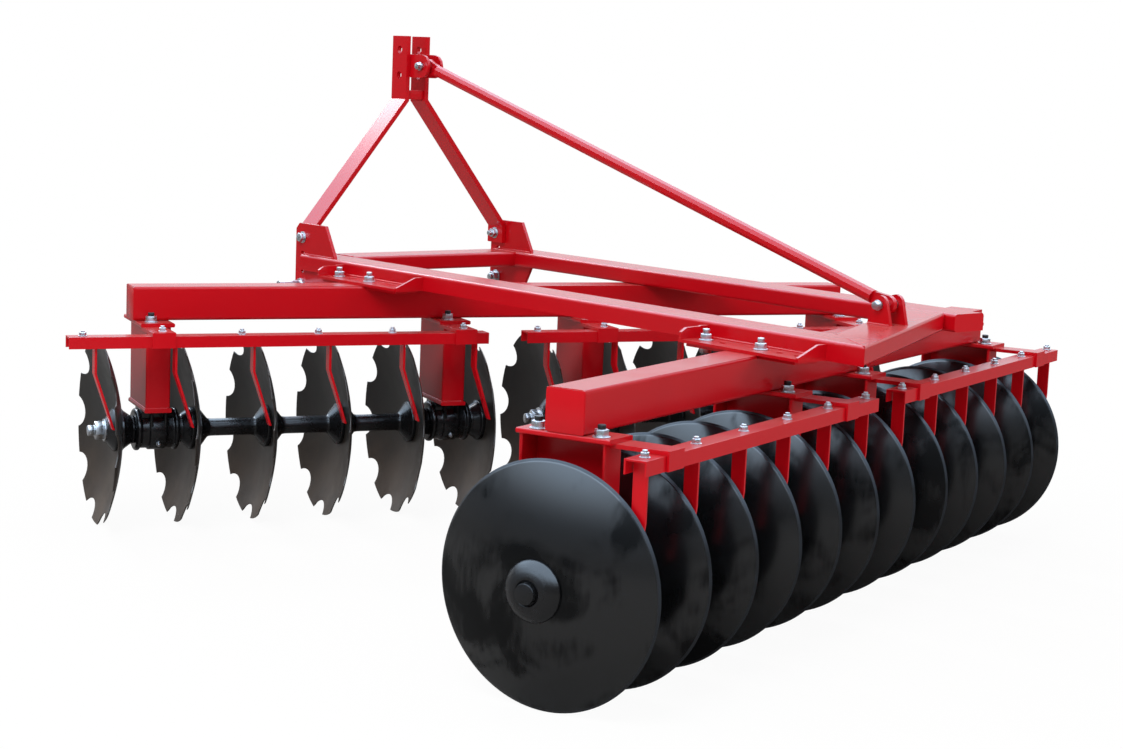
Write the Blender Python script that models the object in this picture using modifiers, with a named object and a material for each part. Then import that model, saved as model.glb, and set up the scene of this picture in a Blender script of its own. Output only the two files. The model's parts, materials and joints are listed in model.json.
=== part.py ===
"""Mounted offset disc harrow, 24 discs in four gangs.

Front row: notched discs. Rear row: plain discs. Metres, +Z up, +Y towards the
tractor, +X to the machine's right. The machine stands on its discs.
"""

import math

import bmesh
import bpy
from mathutils import Matrix, Vector

# Clearances
FIT_GAP = 0.0003
RUN_GAP = 0.0003
SHOULDER_GAP = 0.0006
OVERRUN = 0.02
WELD_SINK = 0.001
WELD_DISTANCE = 0.00001
MERGE_LIMIT = 0.00005

# Gang rows
DISC_RADIUS = 0.280
DISC_PITCH = 0.230
GANG_SPACE = 0.009
DISCS_PER_GANG = 6
ROW_REACH = 0.702
ROW_STAGGER = 0.051

# Discs
DISC_WALL = 0.005
DISC_DISH_DEPTH = 0.057
DISC_FLAT_MARGIN = 0.006
NOTCH_COUNT = 10
NOTCH_DEPTH = 0.035
NOTCH_RADIUS = 0.052
NOTCH_STEPS = 3
RIM_STEPS = 28
RING_RADIUS_SHARES = (0.62,)
RING_STEPS = (12,)
FLAT_STEPS = 10

# Arbors: square bar, spools and end pieces
ARBOR_SQUARE = 0.038
SQUARE_PLAY = 0.0015
ARBOR_NECK_RADIUS = 0.014
SPOOL_RADIUS = 0.026
SPOOL_CUP_RADIUS = 0.064
SPOOL_RING = 0.014
SPOOL_FLARE = 0.040
SHOULDER_RADIUS = 0.042
JOURNAL_RADIUS = 0.030
BELL_RADIUS = 0.070
BELL_RIM = 0.006
BELL_CROWN_RADIUS = 0.036
BELL_DEPTH = 0.030
BELL_WAIST_SHARE = 0.62
ARBOR_HEAD = 0.047
ARBOR_HEAD_DEPTH = 0.010
CONE_RADIUS = 0.064
CONE_RIM = 0.008
CONE_DEPTH = 0.031
CONE_TIP_RADIUS = 0.036
END_NUT_RADIUS = 0.027
END_NUT_DEPTH = 0.025
THREAD_RADIUS = 0.016
THREAD_REACH = 0.027
TURNED_STEPS = 10

# Bearing housings
BEARING_LENGTH = 0.130
BEARING_RADIUS = 0.061
BEARING_FLANGE_RADIUS = 0.063
BEARING_FLANGE = 0.014
BEARING_CHAMFER = 0.004
BEARING_SEAT_SHARE = 0.72
BEARING_FOOT_WIDTH = 0.090

# Gang beams
BEAM = 0.100
BEAM_WALL = 0.006
BEAM_LENGTH = 2.370
BEAM_BOTTOM = 0.610
DRAIN_RADIUS = 0.008

# Posts between beam and bearing
CAP_PLATE = 0.012
CAP_WIDTH = 0.100
CAP_OVER = 0.020
CAP_FRONT = 0.124
CAP_REAR = 0.115
SHELF_PLATE = 0.009
SHELF_WIDTH = 0.068
SHELF_OVER = 0.015
SHELF_LIP = 0.006
POST_FRONT = 0.118
POST_REAR = 0.100
POST_FLANGE = 0.072
POST_WALL = 0.007
FOOT_PLATE = 0.012
FOOT_OVER = 0.004

# Scrapers
BAR_WIDTH = 0.055
BAR_HEIGHT = 0.034
BAR_WALL = 0.005
BAR_REAR = 0.240
BLADE_WIDTH = 0.035
BLADE_WALL = 0.007
BLADE_TIP_WIDTH = 0.024
BLADE_INSET = 0.003
BLADE_TIP_HEIGHT = 0.318

# Main frame
TUBE_WIDTH = 0.125
TUBE_HEIGHT = 0.050
TUBE_WALL = 0.005
FRAME_LEFT_MARGIN = 0.0125
FRAME_RIGHT_MARGIN = 0.0855
FRAME_FRONT = 1.290
FRAME_REAR_LEFT = -1.138
FRAME_REAR_RIGHT = -0.760
REAR_TUBE_ANGLE = math.radians(27.5)
END_WALL = 0.005
MITRE_REACH = 1.0

# Brackets that bolt the side tubes to the gang beams
BRACKET_REACH = 0.100
BRACKET_LENGTH = 0.420
BRACKET_PLATE = 0.008
GUSSET_RISE = 0.033
GUSSET_SHELF = 0.030
GUSSET_TOE = 0.004
EAR_WIDTH = 0.080
EAR_LENGTH = 0.380
EAR_PLATE = 0.008
BOLT_HOLE_RADIUS = 0.010
BRACKET_HOLE_PLACES = (-0.160, -0.100, 0.100, 0.160)
EAR_ROOT = 0.040
SMALL_STEPS = 8

# Hitch plates and lower pins
HITCH_CENTRE = 0.105
HITCH_SPAN = 0.825
HITCH_PLATE = 0.012
HITCH_PLATE_FRONT = 1.335
HITCH_PLATE_REAR = 1.115
HITCH_TOP = 0.860
HITCH_TOP_REAR = 1.170
HITCH_CORNER = 0.018
HITCH_BOTTOM = 0.640
HITCH_FOOT_REAR = 1.150
HITCH_HOLE_SET = 0.040
HITCH_BOLT_HEIGHT = 0.815
HITCH_HOLE_HEIGHTS = (0.762, 0.708)
LOWER_PIN_RADIUS = 0.014
LOWER_PIN_REACH = 0.090
LOWER_PIN_ROOT = 0.003
LOWER_PIN_COLLAR_RADIUS = 0.020
LOWER_PIN_COLLAR = 0.010
LOWER_PIN_HEIGHT = 0.662

# Mast
MAST_BAR_WIDTH = 0.080
MAST_BAR_WALL = 0.016
MAST_OUTER = 0.095
MAST_TOP = 1.475
MAST_BEND_DROP = 0.207
MAST_LOWER_BEND = 0.845
MAST_FOOT = 0.782
TOP_HOLE_RADIUS = 0.013
TOP_HOLE_DROPS = (0.045, 0.129)

# Clevises and brace
CLEVIS_EAR = 0.010
CLEVIS_EAR_HEIGHT = 0.076
CLEVIS_BLOCK_HEIGHT = 0.025
CLEVIS_BLOCK_REACH = 0.030
CLEVIS_PIN_RADIUS = 0.011
CLEVIS_PIN_DROP = 0.097
CLEVIS_PIN_SET = 0.060
PIN_HEAD = 0.008
REAR_EAR = 0.010
REAR_EAR_LENGTH = 0.080
REAR_EAR_SPREAD = 0.052
REAR_PIN_HEIGHT = 0.812
REAR_PIN_PLACE = -0.838
REAR_EAR_RADIUS = 0.026
BRACE_RADIUS = 0.019
BRACE_EYE_RADIUS = 0.024
BRACE_EYE_WALL = 0.014
BRACE_NECK = 0.055
BRACE_FLAT_SHARE = 0.7
PIN_PLAY = 0.0005
CURVE_STEPS = 10
EYE_STEPS = 6

# Looks
PAINT_ROUGHNESS = 0.28
DISC_METALLIC = 0.6
DISC_ROUGHNESS = 0.38
GLOSS_ROUGHNESS = 0.2
SHARP_ANGLE = math.radians(32)

# Derived places
DISC_FLAT_RADIUS = max(SPOOL_CUP_RADIUS, BELL_RADIUS) + DISC_FLAT_MARGIN
FRAME_LEFT = HITCH_CENTRE - HITCH_SPAN / 2 - FRAME_LEFT_MARGIN
FRAME_RIGHT = HITCH_CENTRE + HITCH_SPAN / 2 + FRAME_RIGHT_MARGIN
MAST_BEND = MAST_TOP - MAST_BEND_DROP
CLEVIS_PIN_HEIGHT = MAST_TOP - CLEVIS_PIN_DROP
FRAME_BOTTOM = BEAM_BOTTOM + BEAM + FIT_GAP
FRAME_TOP = FRAME_BOTTOM + TUBE_HEIGHT
CAP_TOP = BEAM_BOTTOM - FIT_GAP
CAP_BOTTOM = CAP_TOP - CAP_PLATE
SHELF_BOTTOM = CAP_BOTTOM - SHELF_PLATE
BAR_TOP = SHELF_BOTTOM - FIT_GAP
BEARING_BORE_RADIUS = (JOURNAL_RADIUS + RUN_GAP) / math.cos(math.pi / TURNED_STEPS)
BEARING_OFFSET = DISC_PITCH * (DISCS_PER_GANG - 2) / 2
PIN_HOLE_RADIUS = (CLEVIS_PIN_RADIUS + PIN_PLAY) / math.cos(math.pi / CURVE_STEPS)

# Rows: side of the machine, angle off X, shifts along the row of beam and gangs,
# places from the hub of post web, scraper, scraper tip, knee height, bar ends
ROWS = {
    "front": {
        "side": 1,
        "angle": math.radians(17.4),
        "beam_shift": 0.010,
        "gang_shift": 0,
        "web_place": 0.050,
        "scraper_set": 0.106,
        "tip_set": 0.052,
        "knee_height": 0.480,
        "bar_ends": (0.035, 0.078),
        "notched": True,
    },
    "rear": {
        "side": -1,
        "angle": math.radians(18.0),
        "beam_shift": -0.035,
        "gang_shift": 0.008,
        "web_place": 0.062,
        "scraper_set": 0.070,
        "tip_set": 0.0475,
        "knee_height": 0.450,
        "bar_ends": (0.033, 0.033),
        "notched": False,
    },
}
HANDS = {"left": -1, "right": 1}

RED = (0.60, 0.010, 0.015, 1.0)
DISC_BLACK = (0.022, 0.024, 0.028, 1.0)
DISC_STEEL = (0.080, 0.072, 0.068, 1.0)
GLOSS_BLACK = (0.010, 0.010, 0.011, 1.0)


def clear_scene():
    for item in list(bpy.data.objects):
        bpy.data.objects.remove(item, do_unlink=True)


def new_collection(name):
    group = bpy.data.collections.new(name)
    bpy.context.scene.collection.children.link(group)
    return group


def paint(name, color, metallic, roughness):
    finish = bpy.data.materials.new(name)
    finish.use_nodes = True
    shader = finish.node_tree.nodes["Principled BSDF"]
    shader.inputs["Base Color"].default_value = color
    shader.inputs["Metallic"].default_value = metallic
    shader.inputs["Roughness"].default_value = roughness
    return finish


def add_tool(mesh, group, name="tool"):
    """A helper object, kept in the cutters' collection until it is baked."""
    item = bpy.data.objects.new(name, mesh)
    item.hide_render = True
    item.display_type = "WIRE"
    group.objects.link(item)
    return item


def bake(item):
    """The evaluated mesh of a helper object, with loose caps welded."""
    bpy.context.view_layer.update()
    graph = bpy.context.evaluated_depsgraph_get()
    mesh = bpy.data.meshes.new_from_object(item.evaluated_get(graph))
    mesh.transform(item.matrix_world)
    bpy.data.objects.remove(item, do_unlink=True)
    body = bmesh.new()
    body.from_mesh(mesh)
    bmesh.ops.remove_doubles(body, verts=body.verts, dist=WELD_DISTANCE)
    bmesh.ops.recalc_face_normals(body, faces=body.faces)
    body.to_mesh(mesh)
    body.free()
    return mesh


def combine(group, mesh, others, operation):
    """Join meshes to one mesh, or cut them from it."""
    base = add_tool(mesh, group)
    tools = []
    for other in others:
        tool = add_tool(other, group)
        tools.append(tool)
        step = base.modifiers.new("Boolean", "BOOLEAN")
        step.operation = operation
        step.object = tool
    result = bake(base)
    for tool in tools:
        bpy.data.objects.remove(tool, do_unlink=True)
    return result


def join(group, mesh, *others):
    return combine(group, mesh, others, "UNION")


def cut(group, mesh, *others):
    return combine(group, mesh, others, "DIFFERENCE")


def box(low, high):
    """A box between two corners."""
    low, high = Vector(low), Vector(high)
    body = bmesh.new()
    bmesh.ops.create_cube(body, size=1.0)
    size = high - low
    middle = (high + low) / 2
    place = Matrix.Translation(middle) @ Matrix.Diagonal((*size, 1.0))
    bmesh.ops.transform(body, matrix=place, verts=body.verts)
    mesh = bpy.data.meshes.new("box")
    body.to_mesh(mesh)
    body.free()
    return mesh


def rod(start, end, radius, steps=TURNED_STEPS):
    """A round bar between two points."""
    start, end = Vector(start), Vector(end)
    body = bmesh.new()
    bmesh.ops.create_cone(
        body, cap_ends=True, segments=steps, radius1=radius, radius2=radius, depth=(end - start).length
    )
    turn = (end - start).to_track_quat("Z", "Y").to_matrix().to_4x4()
    bmesh.ops.transform(body, matrix=Matrix.Translation((start + end) / 2) @ turn, verts=body.verts)
    mesh = bpy.data.meshes.new("rod")
    body.to_mesh(mesh)
    body.free()
    return mesh


def turned(group, profile, steps=TURNED_STEPS):
    """A profile of (place, radius) turned round the X axis, by a Screw modifier."""
    body = bmesh.new()
    points = [body.verts.new((radius, 0, place)) for place, radius in reversed(profile)]
    for first, second in zip(points, points[1:]):
        body.edges.new((first, second))
    mesh = bpy.data.meshes.new("profile")
    body.to_mesh(mesh)
    body.free()
    item = add_tool(mesh, group)
    screw = item.modifiers.new("Screw", "SCREW")
    screw.steps = steps
    screw.render_steps = steps
    screw.use_merge_vertices = True
    screw.merge_threshold = MERGE_LIMIT
    screw.use_smooth_shade = False
    item.matrix_world = Matrix.Rotation(math.pi / 2, 4, "Y")
    return bake(item)


def arc(centre, radius, start, end, steps):
    """Points on an arc, both ends included."""
    return [
        (
            centre[0] + radius * math.cos(start + (end - start) * step / steps),
            centre[1] + radius * math.sin(start + (end - start) * step / steps),
        )
        for step in range(steps + 1)
    ]


def plate(group, outline, thickness, holes=()):
    """A flat plate from a 2D curve: an outline and round holes (x, y, radius)."""
    curve = bpy.data.curves.new("outline", "CURVE")
    curve.dimensions = "2D"
    curve.fill_mode = "BOTH"
    curve.extrude = thickness / 2
    loops = [outline]
    for x, y, radius in holes:
        loops.append(arc((x, y), radius, 0, 2 * math.pi, CURVE_STEPS)[:-1])
    for loop in loops:
        spline = curve.splines.new("POLY")
        spline.points.add(len(loop) - 1)
        for point, (x, y) in zip(spline.points, loop):
            point.co = (x, y, 0, 1)
        spline.use_cyclic_u = True
    return bake(add_tool(curve, group))


def placed(mesh, matrix):
    """A mesh moved by a matrix."""
    copy = mesh.copy()
    copy.transform(matrix)
    if matrix.determinant() < 0:
        copy.flip_normals()
    return copy


def upright(mesh, place):
    """A flat plate, drawn in X and Y, stood in the YZ plane at an X place."""
    stand = Matrix(((0, 0, 1, 0), (1, 0, 0, 0), (0, 1, 0, 0), (0, 0, 0, 1)))
    return placed(mesh, Matrix.Translation((place, 0, 0)) @ stand)


class Harrow:
    """Collects the named pieces under one empty."""

    def __init__(self):
        clear_scene()
        self.parts = new_collection("disc_harrow")
        self.cutters = new_collection("cutters")
        self.root = self.empty("harrow", None, Matrix())
        self.red = paint("red_paint", RED, 0, PAINT_ROUGHNESS)
        self.disc_black = paint("black_disc", DISC_BLACK, 0, DISC_ROUGHNESS)
        self.disc_steel = paint("steel_disc", DISC_STEEL, DISC_METALLIC, DISC_ROUGHNESS)
        self.gloss_black = paint("gloss_black", GLOSS_BLACK, 0, GLOSS_ROUGHNESS)

    def empty(self, name, parent, matrix):
        item = bpy.data.objects.new(name, None)
        self.parts.objects.link(item)
        item.parent = parent
        item.matrix_local = matrix
        return item

    def piece(self, name, mesh, finish, matrix=None, parent=None):
        item = bpy.data.objects.new(name, mesh)
        if not mesh.materials:
            mesh.materials.append(finish)
        self.parts.objects.link(item)
        item.parent = parent or self.root
        item.matrix_local = matrix or Matrix()
        mesh.shade_smooth()
        mesh.set_sharp_from_angle(angle=SHARP_ANGLE)
        return item


def row_matrix(row):
    """The row's frame: X along the axle, Y towards the tractor, Z up from the floor."""
    side = ROWS[row]["side"]
    turn = Matrix.Rotation(-side * ROWS[row]["angle"], 4, "Z")
    return Matrix.Translation((side * ROW_STAGGER, side * ROW_REACH, 0)) @ turn


def gang_centre(row, hand):
    """Middle of a gang's six hubs, along the row."""
    middle = HANDS[hand] * (DISC_PITCH * DISCS_PER_GANG + GANG_SPACE) / 2
    return middle + ROWS[row]["side"] * DISC_DISH_DEPTH + ROWS[row]["gang_shift"]


def gang_matrix(row, hand):
    """The gang's frame, with its hollow disc faces towards +X."""
    turn = Matrix.Rotation(math.pi if ROWS[row]["side"] > 0 else 0, 4, "Z")
    return row_matrix(row) @ Matrix.Translation((gang_centre(row, hand), 0, DISC_RADIUS)) @ turn


def hub_places():
    return [(number - (DISCS_PER_GANG - 1) / 2) * DISC_PITCH for number in range(DISCS_PER_GANG)]


def dish_depth(radius):
    """How far the bowl stands out from its flat centre at a radius."""
    if radius <= DISC_FLAT_RADIUS:
        return 0.0
    return DISC_DISH_DEPTH * (radius**2 - DISC_FLAT_RADIUS**2) / (DISC_RADIUS**2 - DISC_FLAT_RADIUS**2)


def round_rim():
    return [(DISC_RADIUS, -math.pi / 2 + 2 * math.pi * step / RIM_STEPS) for step in range(RIM_STEPS)]


def notched_rim():
    """Radius and angle round the rim: a land, then a round bite, for each notch."""
    centre = DISC_RADIUS - NOTCH_DEPTH + NOTCH_RADIUS
    reach = (DISC_RADIUS**2 + centre**2 - NOTCH_RADIUS**2) / (2 * DISC_RADIUS * centre)
    half_bite = math.acos(reach)
    half_arc = math.asin(DISC_RADIUS * math.sin(half_bite) / NOTCH_RADIUS)
    period = 2 * math.pi / NOTCH_COUNT
    rim = []
    for number in range(NOTCH_COUNT):
        land = -math.pi / 2 + number * period
        rim.append((DISC_RADIUS, land))
        middle = land + period / 2
        for x, y in arc((centre, 0), NOTCH_RADIUS, math.pi + half_arc, math.pi - half_arc, NOTCH_STEPS):
            rim.append((math.hypot(x, y), middle + math.atan2(y, x)))
    return rim


def ring_of(radius, steps):
    return [(radius, 2 * math.pi * step / steps) for step in range(steps)]


def bridge(body, outer, inner):
    """Triangles between two rings of unlike counts, walked by angle."""

    def angle(vertex, first):
        turn = math.atan2(vertex.co.z, vertex.co.y) - math.atan2(first.co.z, first.co.y)
        return turn % (2 * math.pi)

    start = min(inner, key=lambda v: abs(math.remainder(angle(v, outer[0]), 2 * math.pi)))
    place = inner.index(start)
    inner = inner[place:] + inner[:place]
    offset = math.remainder(angle(inner[0], outer[0]), 2 * math.pi)
    outer_turns = [angle(v, outer[0]) for v in outer] + [2 * math.pi]
    inner_turns = [angle(v, inner[0]) + offset for v in inner] + [2 * math.pi + offset]
    a = b = 0
    while a < len(outer) or b < len(inner):
        this, that = outer[a % len(outer)], inner[b % len(inner)]
        step_outer = b == len(inner) or (a < len(outer) and outer_turns[a + 1] <= inner_turns[b + 1])
        if step_outer:
            a += 1
            body.faces.new((this, outer[a % len(outer)], that))
        else:
            b += 1
            body.faces.new((this, inner[b % len(inner)], that))


def disc_mesh(group, rim):
    """A dished disc: rings from the rim to the square hole, thickened."""
    half = ARBOR_SQUARE / 2 + SQUARE_PLAY
    rings = [rim]
    for share, steps in zip(RING_RADIUS_SHARES, RING_STEPS):
        rings.append(ring_of(DISC_RADIUS * share, steps))
    rings.append(ring_of(DISC_FLAT_RADIUS, FLAT_STEPS))
    rings.append([(math.hypot(half, half), math.pi / 4 + math.pi / 2 * corner) for corner in range(4)])
    body = bmesh.new()
    loops = [
        [body.verts.new((dish_depth(r), r * math.cos(turn), r * math.sin(turn))) for r, turn in ring]
        for ring in rings
    ]
    for outer, inner in zip(loops, loops[1:]):
        bridge(body, outer, inner)
    bmesh.ops.recalc_face_normals(body, faces=body.faces)
    mesh = bpy.data.meshes.new("disc")
    body.to_mesh(mesh)
    body.free()
    item = add_tool(mesh, group)
    shell = item.modifiers.new("Solidify", "SOLIDIFY")
    shell.thickness = DISC_WALL
    shell.offset = 0
    return bake(item)


def arbor_profile():
    """Place and radius along the gang, from the bell washer to the end nut."""
    hubs = hub_places()
    face = DISC_WALL / 2 + FIT_GAP
    first, last = hubs[0] - face, hubs[-1] + face
    profile = [
        (first - BELL_DEPTH, 0),
        (first - BELL_DEPTH, BELL_CROWN_RADIUS),
        (first - BELL_DEPTH * BELL_WAIST_SHARE, (BELL_CROWN_RADIUS + BELL_RADIUS) / 2),
        (first - BELL_RIM, BELL_RADIUS),
        (first, BELL_RADIUS),
        (first, ARBOR_NECK_RADIUS),
    ]
    for number in range(DISCS_PER_GANG - 1):
        left, right = hubs[number] + face, hubs[number + 1] - face
        middle = (left + right) / 2
        profile += [
            (left, ARBOR_NECK_RADIUS),
            (left, SPOOL_CUP_RADIUS),
            (left + SPOOL_RING, SPOOL_CUP_RADIUS),
        ]
        if number in (0, DISCS_PER_GANG - 2):
            near = BEARING_LENGTH / 2 + SHOULDER_GAP
            profile += [
                (middle - near, SHOULDER_RADIUS),
                (middle - near, JOURNAL_RADIUS),
                (middle + near, JOURNAL_RADIUS),
                (middle + near, SHOULDER_RADIUS),
            ]
        else:
            profile += [
                (left + SPOOL_FLARE, SPOOL_RADIUS),
                (right - SPOOL_FLARE, SPOOL_RADIUS),
            ]
        profile += [
            (right - SPOOL_RING, SPOOL_CUP_RADIUS),
            (right, SPOOL_CUP_RADIUS),
            (right, ARBOR_NECK_RADIUS),
        ]
    profile += [
        (last, ARBOR_NECK_RADIUS),
        (last, CONE_RADIUS),
        (last + CONE_RIM, CONE_RADIUS),
        (last + CONE_DEPTH, CONE_TIP_RADIUS),
        (last + CONE_DEPTH, END_NUT_RADIUS),
        (last + CONE_DEPTH + END_NUT_DEPTH, END_NUT_RADIUS),
        (last + CONE_DEPTH + END_NUT_DEPTH, THREAD_RADIUS),
        (last + CONE_DEPTH + END_NUT_DEPTH + THREAD_REACH, THREAD_RADIUS),
        (last + CONE_DEPTH + END_NUT_DEPTH + THREAD_REACH, 0),
    ]
    return profile


def arbor_mesh(group):
    hubs = hub_places()
    half = ARBOR_SQUARE / 2
    head = ARBOR_HEAD / 2
    left = hubs[0] - DISC_WALL / 2 - FIT_GAP - BELL_DEPTH
    right = hubs[-1] + DISC_WALL / 2 + FIT_GAP + WELD_SINK
    bar = box((left + WELD_SINK, -half, -half), (right, half, half))
    bolt_head = box((left - ARBOR_HEAD_DEPTH, -head, -head), (left + WELD_SINK, head, head))
    return join(group, turned(group, arbor_profile()), bar, bolt_head)


def bearing_mesh(group):
    """Cast housing with end flanges, a bore and a flat seat on top."""
    end = BEARING_LENGTH / 2
    profile = [
        (-end, BEARING_BORE_RADIUS),
        (-end, BEARING_FLANGE_RADIUS - BEARING_CHAMFER),
        (-end + BEARING_CHAMFER, BEARING_FLANGE_RADIUS),
        (-end + BEARING_FLANGE, BEARING_FLANGE_RADIUS),
        (-end + BEARING_FLANGE, BEARING_RADIUS),
        (end - BEARING_FLANGE, BEARING_RADIUS),
        (end - BEARING_FLANGE, BEARING_FLANGE_RADIUS),
        (end - BEARING_CHAMFER, BEARING_FLANGE_RADIUS),
        (end, BEARING_FLANGE_RADIUS - BEARING_CHAMFER),
        (end, BEARING_BORE_RADIUS),
        (-end, BEARING_BORE_RADIUS),
    ]
    barrel = turned(group, profile)
    foot = end - BEARING_FLANGE
    seat = box(
        (-foot, -BEARING_FOOT_WIDTH / 2, BEARING_RADIUS * BEARING_SEAT_SHARE),
        (foot, BEARING_FOOT_WIDTH / 2, BEARING_FLANGE_RADIUS + WELD_SINK),
    )
    return join(group, barrel, seat)


def post_mesh(group, row):
    """Channel post with foot plate, cap plate and the shelf that holds the scraper bar."""
    floor = -DISC_RADIUS
    web = ROWS[row]["web_place"]
    foot_low = BEARING_FLANGE_RADIUS + WELD_SINK + FIT_GAP
    foot_high = foot_low + FOOT_PLATE
    cap_low = floor + CAP_BOTTOM
    tip = web - POST_FLANGE
    channel = box((tip, -POST_REAR, foot_high - WELD_SINK), (web, POST_FRONT, cap_low + WELD_SINK))
    hollow = box(
        (tip - OVERRUN, -POST_REAR + POST_WALL, foot_high + WELD_SINK),
        (web - POST_WALL, POST_FRONT - POST_WALL, cap_low - WELD_SINK),
    )
    channel = cut(group, channel, hollow)
    foot = box(
        (tip - FOOT_OVER, -POST_REAR - FOOT_OVER, foot_low),
        (web + FOOT_OVER, POST_FRONT + FOOT_OVER, foot_high),
    )
    cap_end = web + CAP_OVER
    cap = box((cap_end - CAP_WIDTH, -CAP_REAR, cap_low), (cap_end, CAP_FRONT, floor + CAP_TOP))
    shelf_end = web + SHELF_OVER
    shelf_rear = -BAR_REAR - FIT_GAP - SHELF_LIP
    shelf = box(
        (shelf_end - SHELF_WIDTH, shelf_rear, floor + SHELF_BOTTOM),
        (shelf_end, -POST_REAR + POST_WALL + WELD_SINK, cap_low + WELD_SINK),
    )
    lip = box(
        (shelf_end - SHELF_WIDTH, shelf_rear, floor + BAR_TOP - BAR_HEIGHT),
        (shelf_end, shelf_rear + SHELF_LIP, floor + SHELF_BOTTOM + WELD_SINK),
    )
    return join(group, channel, foot, cap, shelf, lip)


def blade_mesh(group, row):
    """A scraper blade: straight below the bar, then set over to the disc's hollow face."""
    lean = ROWS[row]["tip_set"] - ROWS[row]["scraper_set"]
    middle = -BAR_REAR + BAR_WIDTH / 2 + BLADE_INSET
    top = BAR_TOP - BAR_WALL - DISC_RADIUS + WELD_SINK
    knee = ROWS[row]["knee_height"] - DISC_RADIUS
    tip = BLADE_TIP_HEIGHT - DISC_RADIUS
    body = bmesh.new()
    sections = []
    steps = ((top, 0, BLADE_WIDTH), (knee, 0, BLADE_WIDTH), (tip, lean, BLADE_TIP_WIDTH))
    corners = [(-1, -1), (1, -1), (1, 1), (-1, 1)]
    for place, shift, width in steps:
        sections.append(
            [
                body.verts.new((shift + a * BLADE_WALL / 2, middle + b * width / 2, place))
                for a, b in corners
            ]
        )
    for upper, lower in zip(sections, sections[1:]):
        for number in range(4):
            following = (number + 1) % 4
            body.faces.new((upper[number], upper[following], lower[following], lower[number]))
    body.faces.new(sections[0])
    body.faces.new(sections[-1])
    bmesh.ops.recalc_face_normals(body, faces=body.faces)
    mesh = bpy.data.meshes.new("blade")
    body.to_mesh(mesh)
    body.free()
    return mesh


def scraper_mesh(group, row):
    """A folded bar, open below, with one blade for each disc, in the gang's frame."""
    hubs = hub_places()
    offset = ROWS[row]["scraper_set"]
    before, after = ROWS[row]["bar_ends"]
    low_end, high_end = hubs[0] + offset - before, hubs[-1] + offset + after
    top = BAR_TOP - DISC_RADIUS
    bar = box((low_end, -BAR_REAR, top - BAR_HEIGHT), (high_end, -BAR_REAR + BAR_WIDTH, top))
    hollow = box(
        (low_end - OVERRUN, -BAR_REAR + BAR_WALL, top - BAR_HEIGHT - OVERRUN),
        (high_end + OVERRUN, -BAR_REAR + BAR_WIDTH - BAR_WALL, top - BAR_WALL),
    )
    bar = cut(group, bar, hollow)
    blade = blade_mesh(group, row)
    blades = [placed(blade, Matrix.Translation((hub + offset, 0, 0))) for hub in hubs]
    return join(group, bar, *blades)


def turn_across(mesh, row):
    """Mirror across the axle, where the gang's frame is turned half round."""
    if ROWS[row]["side"] < 0:
        return mesh
    return placed(mesh, Matrix.Diagonal((1, -1, 1, 1)))


def add_gangs(harrow):
    group = harrow.cutters
    arbor = arbor_mesh(group)
    bearing = bearing_mesh(group)
    for row, facts in ROWS.items():
        rim = notched_rim() if facts["notched"] else round_rim()
        disc = disc_mesh(group, rim)
        finish = harrow.disc_steel if facts["notched"] else harrow.disc_black
        post = turn_across(post_mesh(group, row), row)
        scraper = turn_across(scraper_mesh(group, row), row)
        for hand in HANDS:
            title = f"{row}_{hand}"
            gang = harrow.empty(f"{title}_gang_axis", harrow.root, gang_matrix(row, hand))
            for number, place in enumerate(hub_places(), start=1):
                there = Matrix.Translation((place, 0, 0))
                harrow.piece(f"{title}_disc_{number}", disc, finish, there, gang)
            harrow.piece(f"{title}_arbor", arbor, harrow.gloss_black, Matrix(), gang)
            for number, place in enumerate((-BEARING_OFFSET, BEARING_OFFSET), start=1):
                there = Matrix.Translation((place, 0, 0))
                harrow.piece(f"{title}_bearing_{number}", bearing, harrow.gloss_black, there, gang)
                harrow.piece(f"{title}_post_{number}", post, harrow.red, there, gang)
            harrow.piece(f"{title}_scraper_bar", scraper, harrow.red, Matrix(), gang)


def tube_mesh(group, low, high, wall, ends):
    """A rectangular tube along its longest side; ends holds the wall left at each end."""
    low, high = Vector(low), Vector(high)
    size = high - low
    axis = max(range(3), key=lambda place: size[place])
    inner_low = Vector([value + wall for value in low])
    inner_high = Vector([value - wall for value in high])
    inner_low[axis] = low[axis] + ends[0] if ends[0] else low[axis] - OVERRUN
    inner_high[axis] = high[axis] - ends[1] if ends[1] else high[axis] + OVERRUN
    return cut(group, box(low, high), box(inner_low, inner_high))


def crossing(row, place):
    """Where a gang beam's middle passes a machine X place."""
    side = ROWS[row]["side"]
    slope = math.tan(ROWS[row]["angle"])
    return side * ROW_REACH - side * slope * (place - side * ROW_STAGGER)


def ear_places():
    """The outer side of each side tube: edge place and outward direction."""
    return ((FRAME_LEFT, -1), (FRAME_RIGHT, 1))


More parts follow.
